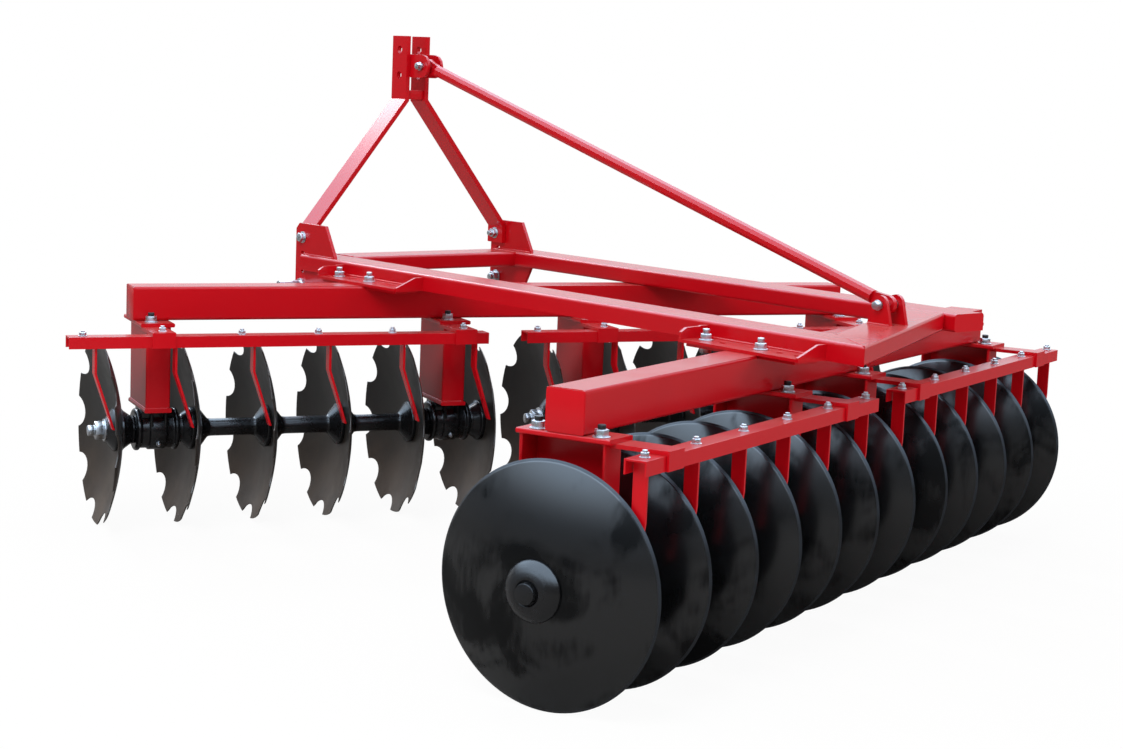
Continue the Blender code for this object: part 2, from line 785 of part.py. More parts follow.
def beam_mesh(group, row):
    """Square gang beam with ear plates, level with its top, under each bracket."""
    shift = ROWS[row]["beam_shift"]
    half = BEAM / 2
    low, high = shift - BEAM_LENGTH / 2, shift + BEAM_LENGTH / 2
    top = BEAM_BOTTOM + BEAM
    middle = BEAM_BOTTOM + half
    inner = half - BEAM_WALL
    drain = middle - half / 2
    hollow = box((low + END_WALL, -inner, middle - inner), (high - END_WALL, inner, middle + inner))
    drains = [
        rod((end - OVERRUN, 0, drain), (end + OVERRUN, 0, drain), DRAIN_RADIUS, SMALL_STEPS)
        for end in (low, high)
    ]
    beam = cut(group, box((low, -half, BEAM_BOTTOM), (high, half, top)), hollow, *drains)
    back = row_matrix(row).inverted()
    ears = []
    for edge, outward in ear_places():
        x = edge + outward * (BRACKET_REACH / 2)
        centre = back @ Vector((x, crossing(row, x), 0))
        turn = Matrix.Rotation(ROWS[row]["side"] * ROWS[row]["angle"], 4, "Z")
        here = Matrix.Translation((centre.x, centre.y, 0)) @ turn
        for way in (-1, 1):
            first = EAR_ROOT * way
            last = EAR_LENGTH / 2 * way
            ear = box(
                (-EAR_WIDTH / 2, min(first, last), top - EAR_PLATE),
                (EAR_WIDTH / 2, max(first, last), top),
            )
            ears.append(placed(ear, here))
    return join(group, beam, *ears)


def bracket_meshes(group, row, edge, outward):
    """Base plate and two gussets on the outer face of a side tube."""
    x = edge + outward * BRACKET_REACH / 2
    middle = crossing(row, x)
    start, end = middle - BRACKET_LENGTH / 2, middle + BRACKET_LENGTH / 2
    near, far = edge - outward * WELD_SINK, edge + outward * BRACKET_REACH
    low, high = FRAME_BOTTOM, FRAME_BOTTOM + BRACKET_PLATE
    base = box((min(near, far), start, low), (max(near, far), end, high))
    pieces = [base]
    rise = [
        (0, 0),
        (BRACKET_REACH, 0),
        (BRACKET_REACH, GUSSET_TOE),
        (GUSSET_SHELF, GUSSET_RISE),
        (0, GUSSET_RISE),
    ]
    gusset = plate(group, rise, BRACKET_PLATE)
    stand = Matrix(((outward, 0, 0, 0), (0, 0, 1, 0), (0, 1, 0, 0), (0, 0, 0, 1)))
    inset = BRACKET_PLATE / 2 + WELD_SINK
    for place in (start + inset, end - inset):
        pieces.append(placed(gusset, Matrix.Translation((near, place, high - WELD_SINK)) @ stand))
    holes = []
    for step in BRACKET_HOLE_PLACES:
        y = middle + step
        holes.append(rod((x, y, low - OVERRUN), (x, y, high + OVERRUN), BOLT_HOLE_RADIUS, SMALL_STEPS))
    return pieces, holes


def side_tube_mesh(group, hand):
    """A side tube with its two brackets, slotted at the front for its hitch plate."""
    left = FRAME_LEFT if hand == "left" else FRAME_RIGHT - TUBE_WIDTH
    right = left + TUBE_WIDTH
    edge, outward = ear_places()[0 if hand == "left" else 1]
    rear = FRAME_REAR_LEFT if hand == "left" else FRAME_REAR_RIGHT
    rear_wall = 0 if hand == "left" else END_WALL
    tube = tube_mesh(
        group, (left, rear, FRAME_BOTTOM), (right, FRAME_FRONT, FRAME_TOP), TUBE_WALL, (rear_wall, 0)
    )
    pieces, holes = [], []
    for row in ROWS:
        more, bores = bracket_meshes(group, row, edge, outward)
        pieces += more
        holes += bores
    tube = join(group, tube, *pieces)
    plate_x = HITCH_CENTRE + outward * (HITCH_SPAN - HITCH_PLATE) / 2
    half = HITCH_PLATE / 2 + FIT_GAP
    slot = box(
        (plate_x - half, HITCH_PLATE_REAR - FIT_GAP - WELD_SINK, FRAME_BOTTOM - OVERRUN),
        (plate_x + half, FRAME_FRONT + OVERRUN, FRAME_TOP + OVERRUN),
    )
    tube = cut(group, tube, slot, *holes)
    if hand == "right":
        return tube
    return cut(group, tube, mitre_tool(group, 1))


def mitre_tool(group, side):
    """A block that clears everything past the mitre between left and rear tubes."""
    turn = (math.pi / 2 + REAR_TUBE_ANGLE) / 2
    low = (-MITRE_REACH, 0, FRAME_BOTTOM - OVERRUN)
    high = (MITRE_REACH, MITRE_REACH, FRAME_TOP + OVERRUN)
    block = box(low, high)
    place = Matrix.Translation((FRAME_LEFT, FRAME_REAR_LEFT, 0)) @ Matrix.Rotation(turn, 4, "Z")
    flip = Matrix.Diagonal((1, -side, 1, 1))
    shift = Matrix.Translation((0, side * FIT_GAP / 2, 0))
    return placed(block, place @ shift @ flip)


def rear_tube_mesh(group):
    """The oblique rear cross tube with the brace's clevis ears."""
    length = (FRAME_RIGHT - FRAME_LEFT) / math.cos(REAR_TUBE_ANGLE)
    tube = tube_mesh(
        group, (-TUBE_WIDTH, 0, FRAME_BOTTOM), (length, TUBE_WIDTH, FRAME_TOP), TUBE_WALL, (0, 0)
    )
    corner = Matrix.Translation((FRAME_LEFT, FRAME_REAR_LEFT, 0))
    tube = placed(tube, corner @ Matrix.Rotation(REAR_TUBE_ANGLE, 4, "Z"))
    edge = FRAME_RIGHT - TUBE_WIDTH - FIT_GAP
    stop = box(
        (edge, FRAME_REAR_LEFT, FRAME_BOTTOM - OVERRUN),
        (FRAME_RIGHT + TUBE_WIDTH, FRAME_FRONT, FRAME_TOP + OVERRUN),
    )
    tube = cut(group, tube, stop, mitre_tool(group, -1))
    ears = []
    half = REAR_EAR_LENGTH / 2
    foot = FRAME_TOP - WELD_SINK
    outline = [(REAR_PIN_PLACE - half, foot), (REAR_PIN_PLACE + half, foot)]
    outline += arc((REAR_PIN_PLACE, REAR_PIN_HEIGHT), REAR_EAR_RADIUS, 0, math.pi, EYE_STEPS)
    ear = plate(group, outline, REAR_EAR, [(REAR_PIN_PLACE, REAR_PIN_HEIGHT, PIN_HOLE_RADIUS)])
    for way in (-1, 1):
        ears.append(upright(ear, HITCH_CENTRE + way * (REAR_EAR_SPREAD + REAR_EAR) / 2))
    return join(group, tube, *ears)


def front_tube_mesh(group):
    low = (FRAME_LEFT + TUBE_WIDTH + FIT_GAP, FRAME_FRONT - TUBE_WIDTH, FRAME_BOTTOM)
    high = (FRAME_RIGHT - TUBE_WIDTH - FIT_GAP, FRAME_FRONT, FRAME_TOP)
    return tube_mesh(group, low, high, TUBE_WALL, (0, 0))


def hitch_plate_mesh(group, outward):
    """Hitch plate with its lower pin."""
    front = HITCH_PLATE_FRONT
    outline = [
        (HITCH_FOOT_REAR, HITCH_BOTTOM),
        (front - HITCH_CORNER, HITCH_BOTTOM),
        (front, HITCH_BOTTOM + HITCH_CORNER),
        (front, HITCH_TOP - HITCH_CORNER),
        (front - HITCH_CORNER, HITCH_TOP),
        (HITCH_TOP_REAR, HITCH_TOP),
        (HITCH_PLATE_REAR, FRAME_TOP + TUBE_WALL),
        (HITCH_PLATE_REAR, FRAME_BOTTOM - TUBE_WALL),
    ]
    hole_y = front - HITCH_HOLE_SET
    holes = [(hole_y, height, BOLT_HOLE_RADIUS) for height in (HITCH_BOLT_HEIGHT, *HITCH_HOLE_HEIGHTS)]
    middle = HITCH_CENTRE + outward * (HITCH_SPAN - HITCH_PLATE) / 2
    flat = upright(plate(group, outline, HITCH_PLATE, holes), middle)
    face = HITCH_CENTRE + outward * HITCH_SPAN / 2
    inside = face - outward * LOWER_PIN_ROOT
    tip = face + outward * LOWER_PIN_REACH
    pin = rod((inside, hole_y, LOWER_PIN_HEIGHT), (tip, hole_y, LOWER_PIN_HEIGHT), LOWER_PIN_RADIUS)
    collar = rod(
        (face - outward * WELD_SINK, hole_y, LOWER_PIN_HEIGHT),
        (face + outward * LOWER_PIN_COLLAR, hole_y, LOWER_PIN_HEIGHT),
        LOWER_PIN_COLLAR_RADIUS,
    )
    return join(group, flat, pin, collar)


def mast_bar_mesh(group, outward):
    """Flat bar, bent twice, from the hitch plate's inner face up to the top holes."""
    low_x = HITCH_CENTRE + outward * (HITCH_SPAN / 2 - HITCH_PLATE - FIT_GAP)
    top_x = HITCH_CENTRE + outward * MAST_OUTER / 2
    rise = math.atan2(MAST_BEND - MAST_LOWER_BEND, abs(low_x - top_x))
    trim = MAST_BAR_WALL * math.tan((math.pi / 2 - rise) / 2)
    thick = -outward * MAST_BAR_WALL
    outline = [
        (low_x, MAST_FOOT),
        (low_x, MAST_LOWER_BEND),
        (top_x, MAST_BEND),
        (top_x, MAST_TOP),
        (top_x + thick, MAST_TOP),
        (top_x + thick, MAST_BEND - trim),
        (low_x + thick, MAST_LOWER_BEND - trim),
        (low_x + thick, MAST_FOOT),
    ]
    if outward > 0:
        outline.reverse()
    bar = plate(group, outline, MAST_BAR_WIDTH)
    middle = HITCH_PLATE_FRONT - HITCH_HOLE_SET
    stand = Matrix(((1, 0, 0, 0), (0, 0, -1, middle), (0, 1, 0, 0), (0, 0, 0, 1)))
    bar = placed(bar, stand)
    holes = [
        rod(
            (top_x - OVERRUN, middle, MAST_TOP - drop),
            (top_x + OVERRUN, middle, MAST_TOP - drop),
            TOP_HOLE_RADIUS,
        )
        for drop in TOP_HOLE_DROPS
    ]
    foot = HITCH_BOLT_HEIGHT
    ends = (low_x - OVERRUN, middle, foot), (low_x + OVERRUN, middle, foot)
    holes.append(rod(*ends, BOLT_HOLE_RADIUS, SMALL_STEPS))
    return cut(group, bar, *holes)


def mast_rear():
    return HITCH_PLATE_FRONT - HITCH_HOLE_SET - MAST_BAR_WIDTH / 2


def clevis_mesh(group):
    """Block between the mast bars with two rounded ears behind them."""
    inside = MAST_OUTER / 2 - MAST_BAR_WALL - FIT_GAP
    rear = mast_rear()
    low = CLEVIS_PIN_HEIGHT - CLEVIS_EAR_HEIGHT / 2
    block = box(
        (HITCH_CENTRE - inside, rear - WELD_SINK, low),
        (HITCH_CENTRE + inside, rear + CLEVIS_BLOCK_REACH, low + CLEVIS_BLOCK_HEIGHT),
    )
    radius = CLEVIS_EAR_HEIGHT / 2
    pin = rear - CLEVIS_PIN_SET
    front = rear + CLEVIS_BLOCK_REACH
    outline = [(front, low), (front, low + CLEVIS_EAR_HEIGHT)]
    outline += arc((pin, CLEVIS_PIN_HEIGHT), radius, math.pi / 2, 3 * math.pi / 2, EYE_STEPS)
    ear = plate(group, outline, CLEVIS_EAR, [(pin, CLEVIS_PIN_HEIGHT, PIN_HOLE_RADIUS)])
    ears = [upright(ear, HITCH_CENTRE + way * (inside - CLEVIS_EAR / 2)) for way in (-1, 1)]
    return join(group, block, *ears)


def brace_mesh(group):
    """Round brace with flat eyes, and the two pins that hold it, built level and tipped up."""
    top = Vector((HITCH_CENTRE, mast_rear() - CLEVIS_PIN_SET, CLEVIS_PIN_HEIGHT))
    foot = Vector((HITCH_CENTRE, REAR_PIN_PLACE, REAR_PIN_HEIGHT))
    length = (top - foot).length
    tube = rod((0, BRACE_NECK, 0), (0, length - BRACE_NECK, 0), BRACE_RADIUS)
    neck = BRACE_NECK + BRACE_RADIUS
    flat = BRACE_RADIUS * BRACE_FLAT_SHARE
    outline = arc((0, 0), BRACE_EYE_RADIUS, math.pi / 2, 3 * math.pi / 2, EYE_STEPS)
    outline += [(neck, -flat), (neck, flat)]
    eye = upright(plate(group, outline, BRACE_EYE_WALL), 0)
    far_end = Matrix.Translation((0, length, 0)) @ Matrix.Rotation(math.pi, 4, "Z")
    parts = [eye, placed(eye, far_end)]
    reaches = (REAR_EAR_SPREAD / 2 + REAR_EAR, MAST_OUTER / 2 - MAST_BAR_WALL - FIT_GAP)
    for place, reach in zip((0, length), reaches):
        span = reach + FIT_GAP + PIN_HEAD
        parts.append(rod((-span, place, 0), (span, place, 0), CLEVIS_PIN_RADIUS))
    rise = math.atan2(top.z - foot.z, top.y - foot.y)
    level = join(group, tube, *parts)
    return placed(level, Matrix.Translation(foot) @ Matrix.Rotation(rise, 4, "X"))


def add_frame(harrow):
    group = harrow.cutters
    for row in ROWS:
        harrow.piece(f"{row}_gang_beam", beam_mesh(group, row), harrow.red, row_matrix(row))
    harrow.piece("left_side_tube", side_tube_mesh(group, "left"), harrow.red)
    harrow.piece("right_side_tube", side_tube_mesh(group, "right"), harrow.red)
    harrow.piece("front_cross_tube", front_tube_mesh(group), harrow.red)
    harrow.piece("rear_cross_tube", rear_tube_mesh(group), harrow.red)
    for hand, outward in HANDS.items():
        harrow.piece(f"{hand}_hitch_plate", hitch_plate_mesh(group, outward), harrow.red)
        harrow.piece(f"{hand}_mast_bar", mast_bar_mesh(group, outward), harrow.red)
    harrow.piece("mast_clevis", clevis_mesh(group), harrow.red)
    harrow.piece("brace", brace_mesh(group), harrow.red)


def centre_on_floor(harrow):
    """Move the machine so that the middle of its box is over the origin."""
    bpy.context.view_layer.update()
    corners = [
        item.matrix_world @ vertex.co
        for item in harrow.parts.objects
        if item.type == "MESH"
        for vertex in item.data.vertices
    ]
    low = Vector([min(corner[axis] for corner in corners) for axis in range(3)])
    high = Vector([max(corner[axis] for corner in corners) for axis in range(3)])
    harrow.root.location = (-(low.x + high.x) / 2, -(low.y + high.y) / 2, -low.z)
    bpy.context.view_layer.update()


def main():
    harrow = Harrow()
    add_gangs(harrow)
    add_frame(harrow)
    centre_on_floor(harrow)


main()
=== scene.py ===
"""Looks of a mounted offset disc harrow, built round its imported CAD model."""

import json
import math

import bmesh
import bpy
from mathutils import Matrix, Vector, noise


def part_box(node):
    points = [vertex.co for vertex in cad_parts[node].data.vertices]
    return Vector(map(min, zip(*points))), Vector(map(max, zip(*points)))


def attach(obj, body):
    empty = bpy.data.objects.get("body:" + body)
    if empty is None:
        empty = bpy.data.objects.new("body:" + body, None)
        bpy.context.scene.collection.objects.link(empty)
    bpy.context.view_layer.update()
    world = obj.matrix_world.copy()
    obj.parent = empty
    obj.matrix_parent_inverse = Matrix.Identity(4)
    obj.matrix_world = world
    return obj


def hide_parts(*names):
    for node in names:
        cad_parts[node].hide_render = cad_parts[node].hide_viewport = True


bl_info = {
    "name": "Offset Disc Harrow",
    "version": (1, 0, 0),
    "blender": (4, 5, 0),
    "location": "View3D > Sidebar > Harrow",
    "description": "Discs, castings, painted steelwork and fasteners of a mounted disc harrow",
    "category": "Object",
}

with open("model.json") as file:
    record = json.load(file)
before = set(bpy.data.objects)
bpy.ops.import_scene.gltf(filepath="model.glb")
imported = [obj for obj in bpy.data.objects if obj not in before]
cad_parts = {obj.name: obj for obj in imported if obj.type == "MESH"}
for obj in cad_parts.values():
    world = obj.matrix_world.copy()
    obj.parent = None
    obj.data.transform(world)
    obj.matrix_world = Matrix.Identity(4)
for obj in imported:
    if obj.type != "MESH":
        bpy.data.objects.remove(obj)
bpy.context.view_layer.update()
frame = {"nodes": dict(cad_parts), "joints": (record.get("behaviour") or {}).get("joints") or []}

ROWS = ("front", "rear")
HANDS = ("left", "right")
DISC_COUNT = 6
DISC_RADIUS = 0.280
UP = Vector((0, 0, 1))
TINY = 0.00001

# Edges sharper than these are kept or rounded, and flatter ones are joined or shaded smooth
FLAT_ANGLE = math.radians(0.6)
CORNER_ANGLE = math.radians(38)
SMOOTH_ANGLE = math.radians(32)
DISC_SMOOTH_ANGLE = math.radians(24)
BEAD_SMOOTH_ANGLE = math.radians(80)

# The layout has its own origin: where the hitch and the frame's front lie in it, and the step
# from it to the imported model
HITCH_X = 0.105
FRAME_FRONT = 1.290
HUB = frame["joints"][0]["pos_m"][2]
HITCH_CENTRE = (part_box("left_hitch_plate")[0][0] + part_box("right_hitch_plate")[1][0]) / 2
SHIFT = Vector(
    (HITCH_CENTRE - HITCH_X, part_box("front_cross_tube")[1][1] - FRAME_FRONT, HUB - DISC_RADIUS)
)

# Heights over the hubs: tops of the posts' cap plates, the scraper shelves and the scraper bars
CAP_TOP = 0.3297
SHELF_TOP = 0.3177
BAR_TOP = 0.3084


def joint_of(title):
    return next(joint for joint in frame["joints"] if joint["child"] == f"{title}_gang")


def gang_frame(title):
    """X along the gang towards the discs' hollow sides, Z up, origin mid-gang."""
    joint = joint_of(title)
    along = Vector(joint["axis"]).normalized()
    across = UP.cross(along)
    turn = Matrix((along, across, UP)).transposed().to_4x4()
    return Matrix.Translation(Vector(joint["pos_m"])) @ turn


def gangs():
    """The row and the name of each gang."""
    return [(row, f"{row}_{hand}") for row in ROWS for hand in HANDS]


def hub_places(pitch):
    return [(number - (DISC_COUNT - 1) / 2) * pitch for number in range(DISC_COUNT)]


def bearing_reach(pitch):
    """How far each bearing is from the middle of its gang."""
    return pitch * (DISC_COUNT - 2) / 2


# Sizes and colours that a user would change


class DiscSizes(bpy.types.PropertyGroup):
    dish: bpy.props.FloatProperty(
        name="Dish", description="Depth of the bowl", default=0.057, unit="LENGTH"
    )
    wall: bpy.props.FloatProperty(
        name="Wall", description="Thickness of the disc", default=0.0046, unit="LENGTH"
    )
    flat: bpy.props.FloatProperty(
        name="Flat", description="Radius of the flat centre", default=0.076, unit="LENGTH"
    )
    pitch: bpy.props.FloatProperty(
        name="Pitch", description="Distance from disc to disc", default=0.230, unit="LENGTH"
    )
    bevel: bpy.props.FloatProperty(
        name="Ground edge", description="Width of the ground edge", default=0.006, unit="LENGTH"
    )
    notches: bpy.props.IntProperty(
        name="Notches", description="Bites round a front disc", default=10
    )
    notch_depth: bpy.props.FloatProperty(
        name="Notch depth", description="Depth of a bite", default=0.035, unit="LENGTH"
    )
    notch_radius: bpy.props.FloatProperty(
        name="Notch radius", description="Radius of a bite", default=0.052, unit="LENGTH"
    )


class CastingSizes(bpy.types.PropertyGroup):
    spool: bpy.props.FloatProperty(
        name="Spool", description="Radius of a spool's neck", default=0.026, unit="LENGTH"
    )
    cup: bpy.props.FloatProperty(
        name="Cup", description="Radius of a spool's end", default=0.064, unit="LENGTH"
    )
    flare: bpy.props.FloatProperty(
        name="Flare", description="Length of a spool's flared end", default=0.040, unit="LENGTH"
    )
    housing: bpy.props.FloatProperty(
        name="Housing", description="Length of a bearing housing", default=0.130, unit="LENGTH"
    )
    barrel: bpy.props.FloatProperty(
        name="Barrel", description="Radius of a bearing housing", default=0.061, unit="LENGTH"
    )


class SteelSizes(bpy.types.PropertyGroup):
    tube_corner: bpy.props.FloatProperty(
        name="Tube corner", description="Corner radius of a tube", default=0.009, unit="LENGTH"
    )
    post_corner: bpy.props.FloatProperty(
        name="Post corner", description="Corner radius of a post", default=0.004, unit="LENGTH"
    )
    plate_edge: bpy.props.FloatProperty(
        name="Plate edge", description="Easing of a cut plate", default=0.0014, unit="LENGTH"
    )
    blade_edge: bpy.props.FloatProperty(
        name="Blade edge", description="Easing of a scraper", default=0.0012, unit="LENGTH"
    )
    weld: bpy.props.FloatProperty(
        name="Weld", description="Radius of a weld bead", default=0.0042, unit="LENGTH"
    )


class Finishes(bpy.types.PropertyGroup):
    red: bpy.props.FloatVectorProperty(
        name="Red",
        description="Paint of the steelwork",
        subtype="COLOR",
        size=3,
        default=(0.53, 0.003, 0.009),
    )
    disc_black: bpy.props.FloatVectorProperty(
        name="Disc black",
        description="Paint of the rear discs",
        subtype="COLOR",
        size=3,
        default=(0.0012, 0.0013, 0.0015),
    )
    disc_steel: bpy.props.FloatVectorProperty(
        name="Disc steel",
        description="Finish of the front discs",
        subtype="COLOR",
        size=3,
        default=(0.052, 0.045, 0.039),
    )
    casting: bpy.props.FloatVectorProperty(
        name="Casting",
        description="Paint of the castings",
        subtype="COLOR",
        size=3,
        default=(0.006, 0.006, 0.0068),
    )
    zinc: bpy.props.FloatVectorProperty(
        name="Zinc",
        description="Plating of the bolts",
        subtype="COLOR",
        size=3,
        default=(0.62, 0.63, 0.65),
    )


class StageSizes(bpy.types.PropertyGroup):
    lens: bpy.props.FloatProperty(
        name="Lens", description="Focal length on a 36 mm sensor", default=69.4
    )
    place: bpy.props.FloatVectorProperty(
        name="Camera place",
        description="Where the camera stands",
        size=3,
        subtype="TRANSLATION",
        default=(-4.234, -4.566, 1.394),
    )
    view: bpy.props.FloatVectorProperty(
        name="View",
        description="The way the camera looks",
        size=3,
        subtype="XYZ",
        default=(0.6467, 0.7497, -0.1405),
    )
    right: bpy.props.FloatVectorProperty(
        name="Right",
        description="The picture's right hand",
        size=3,
        subtype="XYZ",
        default=(0.7603, -0.6483, 0.0404),
    )


# Shared effects

# How a smudge's streaks are stretched upright, and how far they push the patch's edge
COMB = (1.0, 1.0, 0.22)
STREAKS_SHARE = 0.13


def add_node(tree, kind, **values):
    """A node with its settings and the values of its inputs."""
    node = tree.nodes.new(kind)
    for name, value in values.items():
        if hasattr(node, name):
            setattr(node, name, value)
        else:
            node.inputs[name.replace("_", " ").title()].default_value = value
    return node


def new_group(name, output, **inputs):
    """A shader node group with named float inputs, given by their defaults, and one output."""
    tree = bpy.data.node_groups.new(name, "ShaderNodeTree")
    for label, value in inputs.items():
        socket = tree.interface.new_socket(
            name=label.replace("_", " "), in_out="INPUT", socket_type="NodeSocketFloat"
        )
        socket.default_value = value
    tree.interface.new_socket(name=output, in_out="OUTPUT", socket_type="NodeSocketFloat")
    return tree, tree.nodes.new("NodeGroupInput"), tree.nodes.new("NodeGroupOutput")


def spread_about(tree, start, end, value, middle, reach):
    """Turn a value near a middle into Low to High, over Hardness times a reach on each side."""
    link = tree.links.new
    spread = add_node(tree, "ShaderNodeMapRange", interpolation_type="SMOOTHSTEP")
    for way, socket in ((-1, "From Min"), (1, "From Max")):
        border = add_node(tree, "ShaderNodeMath", operation="MULTIPLY_ADD")
        border.inputs[1].default_value = way * reach
        border.inputs[2].default_value = middle
        link(start.outputs["Hardness"], border.inputs[0])
        link(border.outputs[0], spread.inputs[socket])
    link(value, spread.inputs["Value"])
    link(start.outputs["Low"], spread.inputs["To Min"])
    link(start.outputs["High"], spread.inputs["To Max"])
    link(spread.outputs["Result"], end.inputs["Value"])


def cloud_group():
    """Soft cloudy patches between a low and a high value."""
    tree, start, end = new_group(
        "cloudy_patches", "Value", Scale=4.0, Hardness=0.3, Low=0.0, High=1.0
    )
    place = tree.nodes.new("ShaderNodeTexCoord")
    cloud = add_node(tree, "ShaderNodeTexNoise", detail=5.0, roughness=0.62)
    tree.links.new(place.outputs["Object"], cloud.inputs["Vector"])
    tree.links.new(start.outputs["Scale"], cloud.inputs["Scale"])
    spread_about(tree, start, end, cloud.outputs["Fac"], middle=0.5, reach=0.5)
    return tree


def smudge_group():
    """Patches whose edges are combed into fine upright streaks."""
    tree, start, end = new_group(
        "brushed_smudges", "Value", Scale=4.0, Hardness=0.1, Low=0.0, High=1.0
    )
    place = tree.nodes.new("ShaderNodeTexCoord")
    comb = tree.nodes.new("ShaderNodeMapping")
    comb.inputs["Scale"].default_value = COMB
    streaks = add_node(tree, "ShaderNodeTexNoise", detail=2.0)
    streaks.inputs["Scale"].default_value = 95.0
    cloud = add_node(tree, "ShaderNodeTexNoise", detail=3.0, roughness=0.6, distortion=0.6)
    push = add_node(tree, "ShaderNodeMath", operation="MULTIPLY_ADD")
    push.inputs[1].default_value = STREAKS_SHARE
    push.inputs[2].default_value = -STREAKS_SHARE / 2
    both = add_node(tree, "ShaderNodeMath", operation="ADD")
    link = tree.links.new
    link(place.outputs["Object"], comb.inputs["Vector"])
    link(comb.outputs["Vector"], streaks.inputs["Vector"])
    link(place.outputs["Object"], cloud.inputs["Vector"])
    link(start.outputs["Scale"], cloud.inputs["Scale"])
    link(streaks.outputs["Fac"], push.inputs[0])
    link(push.outputs[0], both.inputs[0])
    link(cloud.outputs["Fac"], both.inputs[1])
    spread_about(tree, start, end, both.outputs[0], middle=0.44, reach=1.0)
    return tree


def grain_group():
    """Fine surface relief: a coarse and a fine noise."""
    tree, start, end = new_group("surface_grain", "Height", Scale=60.0, Fine_Share=0.3)
    place = tree.nodes.new("ShaderNodeTexCoord")
    coarse = add_node(tree, "ShaderNodeTexNoise", detail=2.0)
    fine = add_node(tree, "ShaderNodeTexNoise", detail=2.0)
    faster = add_node(tree, "ShaderNodeMath", operation="MULTIPLY")
    faster.inputs[1].default_value = 6.0
    blend = add_node(tree, "ShaderNodeMix", data_type="FLOAT")
    link = tree.links.new
    link(place.outputs["Object"], coarse.inputs["Vector"])
    link(place.outputs["Object"], fine.inputs["Vector"])
    link(start.outputs["Scale"], coarse.inputs["Scale"])
    link(start.outputs["Scale"], faster.inputs[0])
    link(faster.outputs[0], fine.inputs["Scale"])
    link(start.outputs["Fine Share"], blend.inputs["Factor"])
    link(coarse.outputs["Fac"], blend.inputs["A"])
    link(fine.outputs["Fac"], blend.inputs["B"])
    link(blend.outputs["Result"], end.inputs["Height"])
    return tree


def dust_group():
    """Dust that lies on upward faces, broken up by patches."""
    tree, start, end = new_group("settled_dust", "Mask", Amount=0.2, Scale=6.0)
    geometry = tree.nodes.new("ShaderNodeNewGeometry")
    split = tree.nodes.new("ShaderNodeSeparateXYZ")
    facing = add_node(
        tree, "ShaderNodeMapRange", interpolation_type="SMOOTHSTEP", from_min=0.55, from_max=1.0
    )
    place = tree.nodes.new("ShaderNodeTexCoord")
    cloud = add_node(tree, "ShaderNodeTexNoise", detail=2.0, roughness=0.5)
    broken = add_node(
        tree, "ShaderNodeMapRange", interpolation_type="SMOOTHSTEP", from_min=0.15, from_max=0.75
    )
    both = add_node(tree, "ShaderNodeMath", operation="MULTIPLY")
    scaled = add_node(tree, "ShaderNodeMath", operation="MULTIPLY")
    link = tree.links.new
    link(geometry.outputs["Normal"], split.inputs[0])
    link(split.outputs["Z"], facing.inputs["Value"])
    link(place.outputs["Object"], cloud.inputs["Vector"])
    link(start.outputs["Scale"], cloud.inputs["Scale"])
    link(cloud.outputs["Fac"], broken.inputs["Value"])
    link(facing.outputs["Result"], both.inputs[0])
    link(broken.outputs["Result"], both.inputs[1])
    link(both.outputs[0], scaled.inputs[0])
    link(start.outputs["Amount"], scaled.inputs[1])
    link(scaled.outputs[0], end.inputs["Mask"])
    return tree


def low_group():
    """One near the floor and nothing higher up."""
    tree, start, end = new_group("low_down", "Value", From=0.0, To=0.3)
    place = tree.nodes.new("ShaderNodeTexCoord")
    split = tree.nodes.new("ShaderNodeSeparateXYZ")
    spread = add_node(
        tree, "ShaderNodeMapRange", interpolation_type="SMOOTHSTEP", to_min=1.0, to_max=0.0
    )
    link = tree.links.new
    link(place.outputs["Object"], split.inputs[0])
    link(split.outputs["Z"], spread.inputs["Value"])
    link(start.outputs["From"], spread.inputs["From Min"])
    link(start.outputs["To"], spread.inputs["From Max"])
    link(spread.outputs["Result"], end.inputs["Value"])
    return tree


def shared(name):
    """A shared effect's node group, built on first use."""
    makers = {
        "cloudy_patches": cloud_group,
        "brushed_smudges": smudge_group,
        "low_down": low_group,
        "surface_grain": grain_group,
        "settled_dust": dust_group,
    }
    return bpy.data.node_groups.get(name) or makers[name]()


def use_group(tree, name, **values):
    node = tree.nodes.new("ShaderNodeGroup")
    node.node_tree = shared(name)
    for label, value in values.items():
        node.inputs[label.replace("_", " ")].default_value = value
    return node


# Materials

# Colours laid over a finish: dust on the red, the front discs' darker colour higher up, above a
# painted highlight near the floor, and their darker patches, the studs' thread, and the floor as it is
# and as gloss and metal show it
DUST = (0.50, 0.36, 0.32)
HIGH_STEEL_ABOVE_HIGHLIGHT = (0.030, 0.028, 0.026)
DARK_STEEL = (0.022, 0.021, 0.021)
THREAD = (0.030, 0.028, 0.027)
FLOOR = (0.90, 0.90, 0.90)
FLOOR_MIRRORED = (0.30, 0.30, 0.30)


def new_finish(name, color, metallic=0.0, roughness=0.3, coat=0.0, coat_roughness=0.05):
    material = bpy.data.materials.new(name)
    material.use_nodes = True
    shader = material.node_tree.nodes["Principled BSDF"]
    shader.inputs["Base Color"].default_value = (*color, 1.0)
    shader.inputs["Metallic"].default_value = metallic
    shader.inputs["Roughness"].default_value = roughness
    shader.inputs["Coat Weight"].default_value = coat
    shader.inputs["Coat Roughness"].default_value = coat_roughness
    material.diffuse_color = (*color, 1.0)
    return material, material.node_tree, shader


def shaded(color, *shares):
    """A colour times one share, or times a share for each of red, green and blue."""
    if len(shares) == 1:
        shares *= 3
    return tuple(part * share for part, share in zip(color, shares))


def vary(tree, shader, socket, effect="cloudy_patches", **values):
    """Let a patchy effect drive one of a shader's inputs."""
    patches = use_group(tree, effect, **values)
    tree.links.new(patches.outputs["Value"], shader.inputs[socket])


